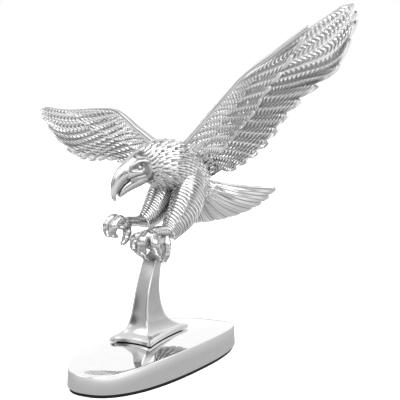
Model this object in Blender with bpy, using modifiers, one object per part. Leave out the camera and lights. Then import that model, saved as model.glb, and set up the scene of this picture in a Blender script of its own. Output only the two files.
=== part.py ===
"""Eagle hood ornament: a chromed die-cast eagle on a curved post and an oval base plate.

Frame: metres, +Z up, origin at the centre of the underside of the adhesive pad. The eagle faces -Y,
its left wing is on +X. The eagle banks, so its left wing is carried higher than its right.
Sizes below are in millimetres and mm() turns them to metres.
"""

import math

import bmesh
import bpy
from mathutils import Matrix, Vector

# ---- driving dimensions, millimetres ---------------------------------------------------------
BASE_LENGTH = 88.0
BASE_WIDTH = 33.0
OUTLINE_POWER = 2.45  # 2 is an ellipse, more is squarer
PAD_THICKNESS = 1.0
PAD_INSET = 0.4
GAP = 0.3  # clearance between neighbouring castings
PLATE_BOTTOM = PAD_THICKNESS + GAP
END_HEIGHT = 6.7  # top of the base plate at its two ends
CROWN = 4.5  # how much higher the top is at its middle than at its ends
SIDE_CROWN = 2.0  # how much higher the top is at its middle than at its sides
SIDE_FLARE = 1.03  # the plate is this much wider at its bottom edge than at its top
PLATE_WALL = 2.2
POCKET_TOP = 6.2
PEDESTAL_Y = -2.6
SCREW_OFFSET = 7.0  # of each pedestal screw from the pedestal's centre
SCREW_RADIUS = 1.25
SCREW_HEAD_RADIUS = 2.4
SCREW_HEAD_HEIGHT = 1.5
WASHER_RADIUS = 2.9
WASHER_THICKNESS = 0.5
BOSS_RADIUS = 3.6
BOSS_BOTTOM = 5.2
SCREW_TIP = 13.9
WING_THICKNESS = 2.1
TAIL_THICKNESS = 2.1
PIN_RADIUS = 0.6
DOWEL_RADIUS = 1.0
SOLID_VOXEL = 1.35  # size of the cells that fuse the figure's forms into one skin
LEG_VOXEL = 0.95

CHROME = ("chrome", (0.86, 0.87, 0.88), 0.07, 1.0)
FOAM = ("black_foam", (0.02, 0.02, 0.02), 0.85, 0.0)
STEEL = ("zinc_plated_steel", (0.62, 0.63, 0.65), 0.3, 1.0)


def mm(*values):
    """Millimetres to metres, as one number or as a vector."""
    if len(values) == 1:
        return values[0] * 0.001
    return Vector(values) * 0.001


# ---- scene, collections and materials --------------------------------------------------------
for old in list(bpy.data.objects):
    bpy.data.objects.remove(old)

parts = bpy.data.collections.new("eagle_hood_ornament")
cutters = bpy.data.collections.new("cutters")
for folder in (parts, cutters):
    bpy.context.scene.collection.children.link(folder)


def material(spec):
    """The Principled material of a finish, made once."""
    name, colour, roughness, metallic = spec
    found = bpy.data.materials.get(name)
    if found:
        return found
    made = bpy.data.materials.new(name)
    made.use_nodes = True
    shader = made.node_tree.nodes["Principled BSDF"]
    shader.inputs["Base Color"].default_value = (*colour, 1.0)
    shader.inputs["Roughness"].default_value = roughness
    shader.inputs["Metallic"].default_value = metallic
    return made


def add_object(name, mesh, folder=parts):
    """A mesh object in a collection."""
    made = bpy.data.objects.new(name, mesh)
    folder.objects.link(made)
    if folder is cutters:
        made.hide_render = True
        made.display_type = "WIRE"
    return made


def finished(name, obj, finish):
    """Bakes obj's modifiers into a mesh of its own, and makes it the part called name."""
    mesh = baked_mesh(obj)
    bpy.data.objects.remove(obj)
    part = add_object(name, mesh)
    mesh.materials.clear()
    mesh.materials.append(material(finish))
    mesh.shade_smooth()
    mesh.set_sharp_from_angle(angle=math.radians(35))
    return part


def baked_mesh(obj):
    """The evaluated mesh of obj in world space."""
    bpy.context.view_layer.update()
    evaluated = obj.evaluated_get(bpy.context.evaluated_depsgraph_get())
    mesh = bpy.data.meshes.new_from_object(evaluated)
    mesh.transform(obj.matrix_world)
    return mesh


# ---- basic forms -----------------------------------------------------------------------------
def box(name, size, centre, turn=None, folder=cutters):
    """A box by its full size and centre in millimetres, turned by a rotation matrix."""
    work = bmesh.new()
    bmesh.ops.create_cube(work, size=1.0)
    bmesh.ops.scale(work, vec=mm(*size), verts=work.verts)
    if turn:
        bmesh.ops.rotate(work, cent=(0, 0, 0), matrix=turn, verts=work.verts)
    bmesh.ops.translate(work, vec=mm(*centre), verts=work.verts)
    mesh = bpy.data.meshes.new(name)
    work.to_mesh(mesh)
    work.free()
    return add_object(name, mesh, folder)


def rod(name, radius, start, end, sides=20, tip_radius=None, folder=cutters):
    """A round bar between two points, in millimetres."""
    start, end = Vector(start), Vector(end)
    along = end - start
    work = bmesh.new()
    bmesh.ops.create_cone(
        work,
        cap_ends=True,
        segments=sides,
        radius1=mm(radius),
        radius2=mm(radius if tip_radius is None else tip_radius),
        depth=mm(along.length),
    )
    turn = along.to_track_quat("Z", "Y").to_matrix()
    bmesh.ops.rotate(work, cent=(0, 0, 0), matrix=turn, verts=work.verts)
    bmesh.ops.translate(work, vec=mm(*((start + end) / 2)), verts=work.verts)
    mesh = bpy.data.meshes.new(name)
    work.to_mesh(mesh)
    work.free()
    return add_object(name, mesh, folder)


def turned(name, profile, centre, closed=False, steps=24, folder=cutters):
    """A turned shape about a vertical axis: profile is (radius, height) down its outer side."""
    mesh = bpy.data.meshes.new(name)
    points = [mm(radius, 0, height) for radius, height in profile]
    edges = [(i, i + 1) for i in range(len(points) - 1)]
    if closed:
        edges.append((len(points) - 1, 0))
    mesh.from_pydata(points, edges, [])
    made = add_object(name, mesh, folder)
    made.location = mm(*centre)
    screw = made.modifiers.new("turn", "SCREW")
    screw.steps = steps
    screw.render_steps = steps
    screw.use_merge_vertices = True
    screw.merge_threshold = 0.00001
    return made


def loft(sections, side=(1, 0, 0), sides=12):
    """A closed tube through (x, y, z, half width, half height) sections, in millimetres.

    Each ring stands square to the line of centres, with its width along side."""
    centres = [Vector(s[:3]) for s in sections]
    work = bmesh.new()
    rings = []
    for i, (x, y, z, half_width, half_height) in enumerate(sections):
        ahead = centres[min(i + 1, len(centres) - 1)]
        behind = centres[max(i - 1, 0)]
        tangent = (ahead - behind).normalized()
        across = Vector(side) - tangent * tangent.dot(Vector(side))
        across.normalize()
        upright = across.cross(tangent)
        ring = []
        for k in range(sides):
            angle = math.tau * k / sides
            point = centres[i] + across * half_width * math.cos(angle)
            point = point + upright * half_height * math.sin(angle)
            ring.append(work.verts.new(mm(*point)))
        rings.append(ring)
    for first, second in zip(rings, rings[1:]):
        for k in range(sides):
            after = (k + 1) % sides
            work.faces.new((first[k], first[after], second[after], second[k]))
    work.faces.new(rings[0])
    work.faces.new(rings[-1])
    bmesh.ops.recalc_face_normals(work, faces=work.faces)
    mesh = bpy.data.meshes.new("loft")
    work.to_mesh(mesh)
    work.free()
    return mesh


def ball(centre, radii, turn):
    """An ellipsoid by its centre and radii in millimetres, turned by a rotation matrix."""
    work = bmesh.new()
    bmesh.ops.create_uvsphere(work, u_segments=16, v_segments=10, radius=1.0)
    bmesh.ops.scale(work, vec=mm(*radii), verts=work.verts)
    bmesh.ops.rotate(work, cent=(0, 0, 0), matrix=turn, verts=work.verts)
    bmesh.ops.translate(work, vec=mm(*centre), verts=work.verts)
    mesh = bpy.data.meshes.new("ball")
    work.to_mesh(mesh)
    work.free()
    return mesh


def fused(name, meshes, voxel=SOLID_VOXEL, smooth=3):
    """One skin round several overlapping meshes, softened."""
    work = bmesh.new()
    for mesh in meshes:
        work.from_mesh(mesh)
        bpy.data.meshes.remove(mesh)
    joined = bpy.data.meshes.new(name)
    work.to_mesh(joined)
    work.free()
    made = add_object(name, joined, cutters)
    remesh = made.modifiers.new("fuse", "REMESH")
    remesh.mode = "VOXEL"
    remesh.voxel_size = mm(voxel)
    soften = made.modifiers.new("soften", "SMOOTH")
    soften.factor = 0.5
    soften.iterations = smooth
    mesh = baked_mesh(made)
    bpy.data.objects.remove(made)
    return add_object(name, mesh, cutters)


def grown(obj, by=GAP):
    """A copy of obj whose faces stand out by a gap, for cutting its neighbours back."""
    copy = add_object(obj.name + "_grown", baked_mesh(obj), cutters)
    swell = copy.modifiers.new("grow", "DISPLACE")
    swell.mid_level = 0.0
    swell.strength = mm(by)
    mesh = baked_mesh(copy)
    bpy.data.objects.remove(copy)
    return add_object(obj.name + "_grown", mesh, cutters)


def combine(obj, other, operation):
    """Joins other to obj, or cuts it away, with a Boolean that is baked in."""
    joint = obj.modifiers.new(operation.lower(), "BOOLEAN")
    joint.operation = operation
    joint.solver = "EXACT"
    joint.object = other
    mesh = baked_mesh(obj)
    name = obj.name
    bpy.data.objects.remove(obj)
    return add_object(name, mesh, cutters)


# ---- base plate, pad and their screws --------------------------------------------------------
def oval(name, length, width, bottom, top):
    """An upright slab with the base's outline, between two heights in millimetres."""
    curve = bpy.data.curves.new(name, "CURVE")
    curve.dimensions = "2D"
    curve.fill_mode = "BOTH"
    curve.extrude = mm((top - bottom) / 2)
    points = 72
    spline = curve.splines.new("POLY")
    spline.points.add(points - 1)
    spline.use_cyclic_u = True
    for i, point in enumerate(spline.points):
        angle = math.tau * (i + 0.5) / points
        c, s = math.cos(angle), math.sin(angle)
        x = math.copysign(abs(c) ** (2 / OUTLINE_POWER), c) * width / 2
        y = math.copysign(abs(s) ** (2 / OUTLINE_POWER), s) * length / 2
        point.co = (mm(x), mm(y), 0, 1)
    made = bpy.data.objects.new(name, curve)
    cutters.objects.link(made)
    made.location.z = mm((top + bottom) / 2)
    mesh = baked_mesh(made)
    bpy.data.objects.remove(made)
    work = bmesh.new()
    work.from_mesh(mesh)
    bmesh.ops.remove_doubles(work, verts=work.verts, dist=0.00001)
    bmesh.ops.recalc_face_normals(work, faces=work.faces)
    work.to_mesh(mesh)
    work.free()
    return add_object(name, mesh, cutters)


def crown_drum(extra):
    """A wide barrel on its side whose top is the plate's domed top, raised by extra."""
    half = BASE_LENGTH / 2
    radius = (half**2 + CROWN**2) / (2 * CROWN)
    centre_height = END_HEIGHT + CROWN - radius
    spans = 16
    reach = 30.0
    work = bmesh.new()
    line = []
    for i in range(spans + 1):
        x = -reach + 2 * reach * i / spans
        fall = SIDE_CROWN * (x / (BASE_WIDTH / 2)) ** 2
        line.append(work.verts.new(mm(x, 0, radius + extra - fall)))
    edges = [work.edges.new(pair) for pair in zip(line, line[1:])]
    bmesh.ops.spin(
        work,
        geom=line + edges,
        cent=(0, 0, 0),
        axis=(1, 0, 0),
        angle=math.tau,
        steps=320,
        use_merge=True,
    )
    bmesh.ops.translate(work, vec=mm(0, 0, centre_height), verts=work.verts)
    bmesh.ops.holes_fill(work, edges=work.edges, sides=0)
    bmesh.ops.recalc_face_normals(work, faces=work.faces)
    mesh = bpy.data.meshes.new("crown_drum")
    work.to_mesh(mesh)
    work.free()
    return add_object("crown_drum", mesh, cutters)


def build_mounting_pad():
    """Foam adhesive pad, a little smaller than the plate."""
    shape = oval("pad", BASE_LENGTH - 2 * PAD_INSET, BASE_WIDTH - 2 * PAD_INSET, 0, PAD_THICKNESS)
    return finished("mounting_pad", shape, FOAM)


# where the two pedestal screws stand
SCREW_PLACES = {"front": PEDESTAL_Y - SCREW_OFFSET, "rear": PEDESTAL_Y + SCREW_OFFSET}


def build_base_plate():
    """Crowned oval shell, open below, with a boss round each screw."""
    plate = oval("plate", BASE_LENGTH, BASE_WIDTH, PLATE_BOTTOM, END_HEIGHT + CROWN + 1)
    for vertex in plate.data.vertices:
        if vertex.co.z < mm(PLATE_BOTTOM + 0.1):
            vertex.co.x *= SIDE_FLARE
    plate = combine(plate, crown_drum(0), "INTERSECT")
    inner_length = BASE_LENGTH - 2 * PLATE_WALL
    inner_width = BASE_WIDTH - 2 * PLATE_WALL
    pocket = oval("pocket", inner_length, inner_width, PLATE_BOTTOM - 1, POCKET_TOP)
    for y in SCREW_PLACES.values():
        boss = rod("boss", BOSS_RADIUS, (0, y, BOSS_BOTTOM), (0, y, POCKET_TOP + 1))
        pocket = combine(pocket, boss, "DIFFERENCE")
    for y in (-26.0, 17.0):
        rib = box("rib", (BASE_WIDTH, 1.4, 6), (0, y, POCKET_TOP + 0.4))
        pocket = combine(pocket, rib, "DIFFERENCE")
    plate = combine(plate, pocket, "DIFFERENCE")
    for y in SCREW_PLACES.values():
        hole = rod("hole", SCREW_RADIUS + GAP, (0, y, 0), (0, y, 14))
        plate = combine(plate, hole, "DIFFERENCE")
    return finished("base_plate", plate, CHROME)


def build_screws():
    """Two pan-head screws from below, each with a washer under its head."""
    washer_top = BOSS_BOTTOM - GAP
    washer_bottom = washer_top - WASHER_THICKNESS
    head_top = washer_bottom - GAP
    head_bottom = head_top - SCREW_HEAD_HEIGHT + 0.3
    bore = SCREW_RADIUS + GAP
    screw_profile = [
        (0, SCREW_TIP),
        (SCREW_RADIUS - 0.4, SCREW_TIP),
        (SCREW_RADIUS, SCREW_TIP - 0.6),
        (SCREW_RADIUS, head_top),
        (SCREW_HEAD_RADIUS, head_top),
        (SCREW_HEAD_RADIUS, head_top - 0.5),
        (SCREW_HEAD_RADIUS * 0.7, head_bottom),
        (0, head_bottom),
    ]
    washer_profile = [
        (bore, washer_top),
        (WASHER_RADIUS, washer_top),
        (WASHER_RADIUS, washer_bottom),
        (bore, washer_bottom),
    ]
    for name, y in SCREW_PLACES.items():
        screw = turned("screw", screw_profile, (0, y, 0))
        for size in ((2.8, 0.5, 0.5), (0.5, 2.8, 0.5)):
            slot = box("slot", size, (0, y, head_bottom + 0.15))
            screw = combine(screw, slot, "DIFFERENCE")
        finished(name + "_screw", screw, STEEL)
        washer = turned("washer", washer_profile, (0, y, 0), closed=True)
        finished(name + "_washer", washer, STEEL)


# ---- pedestal --------------------------------------------------------------------------------
# height, centre y, half width (X) in front, at the back, half length (Y): a thin-edged foot that
# sweeps up into a post
PEDESTAL_SECTIONS = [
    (7.3, -2.6, 7.9, 5.9, 14.6),
    (12.0, -2.6, 7.9, 5.9, 14.6),
    (12.7, -2.7, 7.4, 5.5, 13.8),
    (13.6, -3.4, 5.5, 4.7, 11.0),
    (15.5, -4.5, 4.2, 3.8, 8.2),
    (18.3, -5.3, 3.3, 3.2, 6.2),
    (22.3, -5.8, 2.8, 2.8, 4.8),
    (26.8, -5.5, 2.6, 2.6, 3.7),
    (31.3, -4.4, 2.6, 2.6, 2.9),
    (35.8, -2.6, 2.6, 2.6, 2.3),
]
# where the post goes on through the clutching foot and ends as a peg in the left leg
POST_TOP = [
    (1.0, -0.8, 39.3, 2.1, 1.9),
    (2.2, 0.5, 42.3, 1.5, 1.5),
    (3.4, 1.9, 45.7, 1.2, 1.2),
]
POST_PIN_SPAN = ((0.4, 1.3, 44.3), (6.0, 1.5, 44.5))


def build_pedestal():
    """Curved square post with a flared oblong foot."""
    work = bmesh.new()
    rings = []
    sections = [(0.0, y, z, front, rear, half) for z, y, front, rear, half in PEDESTAL_SECTIONS]
    sections += [(x, y, z, half, half, depth) for x, y, z, half, depth in POST_TOP]
    for x, y, z, front, rear, half in sections:
        chamfer = 0.94
        pinch = 0.9 if half > 10 else 0.96
        corners = []
        for side_x, side_y in ((1, 1), (-1, 1), (-1, -1), (1, -1)):
            width = rear if side_y > 0 else front
            on_side = (side_x * width, side_y * half * chamfer)
            on_end = (side_x * width * chamfer, side_y * half)
            if side_x == side_y:
                corners += [on_side, on_end, (0, side_y * half * pinch)]
            else:
                corners += [on_end, on_side, (side_x * (front + rear) / 2 * pinch, 0)]
        rings.append([work.verts.new(mm(x + cx, y + cy, z)) for cx, cy in corners])
    for first, second in zip(rings, rings[1:]):
        for k in range(len(first)):
            after = (k + 1) % len(first)
            work.faces.new((first[k], first[after], second[after], second[k]))
    work.faces.new(rings[0])
    work.faces.new(rings[-1])
    bmesh.ops.recalc_face_normals(work, faces=work.faces)
    mesh = bpy.data.meshes.new("post")
    work.to_mesh(mesh)
    work.free()
    post = add_object("post", mesh, cutters)
    post = combine(post, crown_drum(GAP), "DIFFERENCE")
    for y in SCREW_PLACES.values():
        tapped = rod("tapped", SCREW_RADIUS + GAP, (0, y, 6), (0, y, SCREW_TIP + 0.5))
        post = combine(post, tapped, "DIFFERENCE")
    post = combine(post, rod("pin_hole", PIN_RADIUS + GAP, *POST_PIN_SPAN), "DIFFERENCE")
    return finished("pedestal", post, CHROME)


# ---- eagle -----------------------------------------------------------------------------------
HEAD_SIDE = (0.891, -0.454, 0.0)  # the head is turned 27 degrees to the bird's right
# torso, then the neck and head down to the beak: x, y, z, half width, half height
TORSO = [
    (0.3, 29.0, 58.3, 3.2, 2.6),
    (0.3, 27.0, 59.5, 4.9, 4.2),
    (0.3, 23.0, 61.5, 6.4, 5.8),
    (0.2, 17.0, 64.1, 7.4, 7.2),
    (0.0, 11.0, 66.5, 7.8, 7.9),
    (0.0, 6.0, 67.9, 7.4, 7.6),
    (-0.2, 2.0, 68.5, 6.3, 7.0),
]
HEAD = [
    (0.2, 4.0, 69.3, 6.2, 6.6),
    (-0.9, -0.8, 69.1, 5.2, 6.0),
    (-2.2, -3.4, 68.2, 4.6, 5.4),
    (-3.6, -6.2, 66.6, 4.3, 5.1),
    (-5.0, -8.9, 64.5, 3.5, 4.5),
    (-6.0, -10.9, 62.3, 2.5, 3.9),
    (-6.7, -12.3, 60.1, 1.7, 3.0),
    (-7.2, -13.2, 58.3, 0.9, 1.9),
    (-7.3, -13.3, 57.2, 0.4, 0.7),
]
LEFT_THIGH = [
    (3.6, 17.5, 64.3, 3.4, 4.6),
    (5.2, 14.5, 60.8, 4.4, 6.4),
    (6.0, 11.2, 55.9, 4.6, 7.2),
    (5.8, 7.4, 51.1, 4.0, 6.0),
    (4.8, 3.6, 47.3, 3.1, 4.2),
    (4.2, 1.4, 45.1, 2.5, 2.9),
]
LEFT_SHANK = [
    (4.4, 2.4, 45.9, 2.2, 2.3),
    (3.8, -1.6, 46.3, 1.9, 1.9),
    (3.0, -5.6, 46.7, 2.0, 1.8),
    (2.4, -8.4, 45.9, 2.3, 1.9),
]
RIGHT_THIGH = [
    (-3.4, 16.0, 63.3, 3.2, 4.2),
    (-4.6, 12.5, 59.8, 4.5, 6.0),
    (-5.1, 8.6, 55.3, 4.6, 6.0),
    (-5.2, 4.6, 51.3, 3.9, 4.6),
    (-5.4, 0.8, 48.5, 2.5, 3.0),
]
RIGHT_SHANK = [
    (-5.4, 1.6, 48.9, 2.1, 2.4),
    (-5.8, -2.6, 49.1, 1.7, 1.8),
    (-6.6, -6.8, 49.7, 1.7, 1.6),
    (-7.2, -9.4, 49.5, 2.2, 1.9),
]
# each toe: x, y, z, radius, from the knuckle to the claw's point
LEFT_TOES = [
    [(3.4, -8.2, 45.7, 1.5), (5.2, -9.6, 43.5, 1.4), (5.4, -8.2, 40.7, 1.3), (4.8, -6.0, 38.3, 0.9), (3.8, -4.6, 36.9, 0.6)],
    [(2.2, -8.8, 46.1, 1.5), (1.8, -11.4, 44.5, 1.5), (1.4, -11.2, 41.5, 1.4), (1.0, -9.2, 38.9, 1.0), (0.8, -6.6, 37.3, 0.6)],
    [(1.2, -8.0, 45.9, 1.5), (-2.0, -9.2, 44.9, 1.4), (-3.6, -8.4, 42.3, 1.3), (-3.4, -6.4, 39.7, 0.9), (-2.4, -5.0, 37.9, 0.6)],
    [(4.0, -1.0, 44.9, 1.5), (5.4, -1.6, 42.3, 1.3), (5.6, -2.2, 39.5, 1.2), (4.8, -2.6, 37.1, 1.1), (4.0, -2.8, 35.9, 0.8)],
]
RIGHT_TOES = [
    [(-6.0, -9.6, 49.7, 1.5), (-6.0, -12.8, 51.1, 1.4), (-6.4, -15.6, 49.7, 1.4), (-6.8, -15.8, 46.7, 1.1), (-6.6, -13.4, 45.3, 0.7)],
    [(-7.4, -9.6, 49.9, 1.5), (-8.6, -12.4, 51.3, 1.4), (-9.8, -14.4, 49.3, 1.4), (-10.2, -13.8, 46.3, 1.1), (-9.4, -11.6, 45.3, 0.7)],
    [(-7.8, -8.8, 49.5, 1.4), (-10.2, -10.2, 50.5, 1.3), (-12.0, -11.0, 48.3, 1.3), (-11.8, -10.6, 45.9, 1.0), (-10.6, -9.6, 45.1, 0.7)],
    [(-6.0, -8.2, 48.5, 1.4), (-6.0, -8.4, 45.7, 1.4), (-6.2, -9.6, 43.5, 1.1), (-6.6, -11.2, 42.5, 0.7)],
]

# wing ribs: leading edge, trailing edge, and how far the middle bows towards the bird's back
LEFT_RIBS = [
    ((4.0, 11.0, 73.8), (8.5, 31.0, 61.3), 2.0),
    ((13.0, 15.5, 85.3), (17.0, 33.0, 66.8), 2.4),
    ((19.0, 17.0, 92.3), (27.0, 30.5, 74.3), 2.4),
    ((25.0, 17.5, 98.3), (35.0, 27.5, 83.3), 2.2),
    ((34.0, 19.5, 104.3), (44.0, 25.0, 91.3), 1.8),
    ((46.0, 20.0, 112.3), (54.0, 25.5, 99.3), 1.2),
    ((57.0, 25.0, 120.8), (60.0, 26.0, 112.8), 0.4),
]
RIGHT_RIBS = [
    ((-4.0, 7.5, 74.3), (-8.5, 24.0, 61.8), 2.0),
    ((-13.0, 10.5, 78.8), (-20.0, 18.0, 65.3), 2.4),
    ((-20.0, 13.0, 82.8), (-29.0, 16.5, 66.8), 2.4),
    ((-26.5, 16.0, 84.5), (-37.0, 17.0, 66.3), 2.2),
    ((-39.0, 20.5, 83.9), (-46.0, 20.0, 67.5), 1.8),
    ((-52.0, 25.0, 82.8), (-56.0, 25.0, 71.8), 1.2),
    ((-65.0, 29.0, 83.3), (-64.5, 29.5, 77.8), 0.4),
]
# tail rays from the bird's right to its left: root, tip
TAIL_RAYS = [
    ((-2.5, 26.0, 58.3), (-23.0, 42.0, 42.3), 1.0),
    ((-1.5, 26.5, 58.9), (-12.0, 48.0, 41.3), 2.0),
    ((0.3, 27.0, 59.5), (2.0, 50.5, 44.3), 2.4),
    ((2.0, 26.5, 60.1), (14.5, 49.0, 49.8), 2.0),
    ((3.0, 26.0, 60.7), (24.0, 44.5, 57.1), 1.0),
]
FLIGHT_FEATHERS = 14
TAIL_FEATHERS = 9
# the thick root of each vane: centre, radii, turn about X and about Y in degrees
ROOTS = {
    "left_wing": ((6.4, 17.5, 71.1), (4.6, 8.0, 2.9), -26, -38),
    "right_wing": ((-6.8, 13.0, 71.3), (4.8, 7.4, 2.8), -28, 30),
    "tail_fan": ((0.9, 31.5, 57.1), (5.2, 7.0, 2.7), -32, 0),
}
# the tenon of each vane: centre, full size
TENONS = {
    "left_wing": ((5.8, 16.5, 70.5), (8.0, 5.0, 2.4)),
    "right_wing": ((-5.8, 12.6, 70.7), (8.0, 5.0, 2.4)),
    "tail_fan": ((0.5, 27.6, 59.3), (4.4, 8.0, 2.0)),
}
WING_PINS = {
    "left_wing": ((3.6, 16.5, 66.8), (3.6, 16.5, 72.5)),
    "right_wing": ((-3.6, 12.6, 67.1), (-3.6, 12.6, 72.7)),
}
LEG_DOWELS = {
    "left_leg": ((6.0, 12.8, 56.5), (4.0, 14.4, 62.3)),
    "right_leg": ((-5.4, 10.6, 56.3), (-3.8, 12.8, 62.3)),
}


def spline_point(rows, column, along):
    """A point on the smooth curve through one column of rows, along from 0 to 1."""
    places = [Vector(row[column]) for row in rows]
    scaled = along * (len(places) - 1)
    i = min(int(scaled), len(places) - 2)
    t = scaled - i
    before = places[i - 1] if i else places[0] * 2 - places[1]
    after = places[i + 2] if i + 2 < len(places) else places[-1] * 2 - places[-2]
    p, q = places[i], places[i + 1]
    return 0.5 * (
        2 * p
        + (q - before) * t
        + (2 * before - 5 * p + 4 * q - after) * t**2
        + (3 * p - before - 3 * q + after) * t**3
    )


def vane(name, ribs, columns, rows, thickness, feathers, notch, bow_sign):
    """A cupped plate across ribs, with a scalloped far edge, thickened to both sides."""
    bows = [Vector((rib[2], 0, 0)) for rib in ribs]
    bow_rows = [(bow,) for bow in bows]
    work = bmesh.new()
    grid = []
    for i in range(columns + 1):
        along = i / columns
        lead = spline_point(ribs, 0, along)
        trail = spline_point(ribs, 1, along)
        step = 0.01
        span = spline_point(ribs, 0, min(along + step, 1)) - spline_point(ribs, 0, max(along - step, 0))
        normal = span.cross(trail - lead).normalized() * bow_sign
        bow = spline_point(bow_rows, 0, along).x
        scallop = 1 - notch * (1 - abs(math.sin(math.pi * feathers * along)))
        line = []
        for j in range(rows + 1):
            across = j / rows * scallop
            point = lead.lerp(trail, across) + normal * bow * 4 * across * (1 - across)
            line.append(work.verts.new(mm(*point)))
        grid.append(line)
    for i in range(columns):
        for j in range(rows):
            work.faces.new((grid[i][j], grid[i + 1][j], grid[i + 1][j + 1], grid[i][j + 1]))
    mesh = bpy.data.meshes.new(name)
    work.to_mesh(mesh)
    work.free()
    made = add_object(name, mesh, cutters)
    thicken = made.modifiers.new("thicken", "SOLIDIFY")
    thicken.thickness = mm(thickness)
    thicken.offset = 0.0
    mesh = baked_mesh(made)
    bpy.data.objects.remove(made)
    work = bmesh.new()
    work.from_mesh(mesh)
    bmesh.ops.recalc_face_normals(work, faces=work.faces)
    work.to_mesh(mesh)
    work.free()
    return add_object(name, mesh, cutters)


def largest_piece(obj):
    """Drops the slivers a cut leaves behind."""
    work = bmesh.new()
    work.from_mesh(obj.data)
    waiting = set(work.verts)
    pieces = []
    while waiting:
        edge_of_piece = [waiting.pop()]
        piece = list(edge_of_piece)
        while edge_of_piece:
            vertex = edge_of_piece.pop()
            for edge in vertex.link_edges:
                other = edge.other_vert(vertex)
                if other in waiting:
                    waiting.remove(other)
                    edge_of_piece.append(other)
                    piece.append(other)
        pieces.append(piece)
    pieces.sort(key=len)
    for piece in pieces[:-1]:
        bmesh.ops.delete(work, geom=piece, context="VERTS")
    work.to_mesh(obj.data)
    work.free()
    return obj


def rooted_vane(name, vane_body, body, body_space):
    """Gives a vane its thick root and tenon, and the body a socket for it."""
    centre, radii, turn_x, turn_y = ROOTS[name]
    turn = Matrix.Rotation(math.radians(turn_y), 3, "Y") @ Matrix.Rotation(math.radians(turn_x), 3, "X")
    root = add_object(name + "_root", ball(centre, radii, turn), cutters)
    vane_body = combine(vane_body, root, "UNION")
    vane_body = largest_piece(combine(vane_body, body_space, "DIFFERENCE"))
    place, size = TENONS[name]
    tenon = box(name + "_tenon", size, place, turn)
    socket = box(name + "_socket", [side + 2 * GAP for side in size], place, turn)
    vane_body = combine(vane_body, tenon, "UNION")
    return vane_body, combine(body, socket, "DIFFERENCE")


def build_eagle(pedestal):
    """The body with its wings, tail and legs, each a casting with a tenon or peg in its neighbour."""
    body = fused("body", [loft(TORSO, sides=16), loft(HEAD, side=HEAD_SIDE, sides=16)])
    body_space = grown(body)
    pedestal_space = grown(pedestal)

    left_wing = vane("left_wing", LEFT_RIBS, 28, 5, WING_THICKNESS, FLIGHT_FEATHERS, 0.08, 1)
    right_wing = vane("right_wing", RIGHT_RIBS, 28, 5, WING_THICKNESS, FLIGHT_FEATHERS, 0.08, -1)
    tail = vane("tail_fan", TAIL_RAYS, 27, 5, TAIL_THICKNESS, TAIL_FEATHERS, 0.07, -1)
    holes = []
    for name, (start, end) in WING_PINS.items():
        finished(name + "_pin", rod("pin", PIN_RADIUS, start, end, sides=12), STEEL)
        above = Vector(end) + Vector((0, 0, 6))
        below = Vector(start) - Vector((0, 0, GAP))
        holes.append(rod("pin_hole", PIN_RADIUS + GAP, below, above, sides=12))
        body = combine(body, holes[-1], "DIFFERENCE")
    left_wing, body = rooted_vane("left_wing", left_wing, body, body_space)
    right_wing, body = rooted_vane("right_wing", right_wing, body, body_space)
    tail, body = rooted_vane("tail_fan", tail, body, body_space)
    left_wing = combine(left_wing, holes[0], "DIFFERENCE")
    right_wing = combine(right_wing, holes[1], "DIFFERENCE")

    leg_forms = (
        ("left_leg", LEFT_THIGH, LEFT_SHANK, LEFT_TOES),
        ("right_leg", RIGHT_THIGH, RIGHT_SHANK, RIGHT_TOES),
    )
    for name, thigh, shank, toes in leg_forms:
        forms = [loft(thigh, sides=14), loft(shank, sides=12)]
        forms += [loft([(*p, p[3]) for p in toe], side=(1, 0.2, 0.1), sides=8) for toe in toes]
        leg = fused(name, forms, voxel=LEG_VOXEL, smooth=1)
        leg = combine(leg, body_space, "DIFFERENCE")
        start, end = (Vector(place) for place in LEG_DOWELS[name])
        finished(name + "_dowel", rod("dowel", DOWEL_RADIUS, start, end, sides=12), STEEL)
        spare = (end - start).normalized() * GAP
        hole = rod("dowel_hole", DOWEL_RADIUS + GAP, start - spare, end + spare, sides=12)
        body = combine(body, hole, "DIFFERENCE")
        leg = combine(leg, hole, "DIFFERENCE")
        if name == "left_leg":
            leg = combine(leg, pedestal_space, "DIFFERENCE")
            leg = combine(leg, rod("pin_hole", PIN_RADIUS + GAP, *POST_PIN_SPAN, sides=12), "DIFFERENCE")
        finished(name, largest_piece(leg), CHROME)
    finished("eagle_body", largest_piece(body), CHROME)
    finished("left_wing", left_wing, CHROME)
    finished("right_wing", right_wing, CHROME)
    finished("tail_fan", tail, CHROME)


build_mounting_pad()
build_base_plate()
build_screws()
pedestal_part = build_pedestal()
finished("post_pin", rod("post_pin", PIN_RADIUS, *POST_PIN_SPAN, sides=12), STEEL)
build_eagle(pedestal_part)
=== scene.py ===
"""Chromed eagle hood ornament: a swooping eagle on a curved post and a domed oval base plate.

Sizes are in millimetres and become metres when a mesh is made. +Z is up, the eagle faces -Y and its
left wing, the raised one, is on +X.
"""

from __future__ import annotations

import logging
import math
from dataclasses import dataclass, field
from enum import Enum

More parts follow.
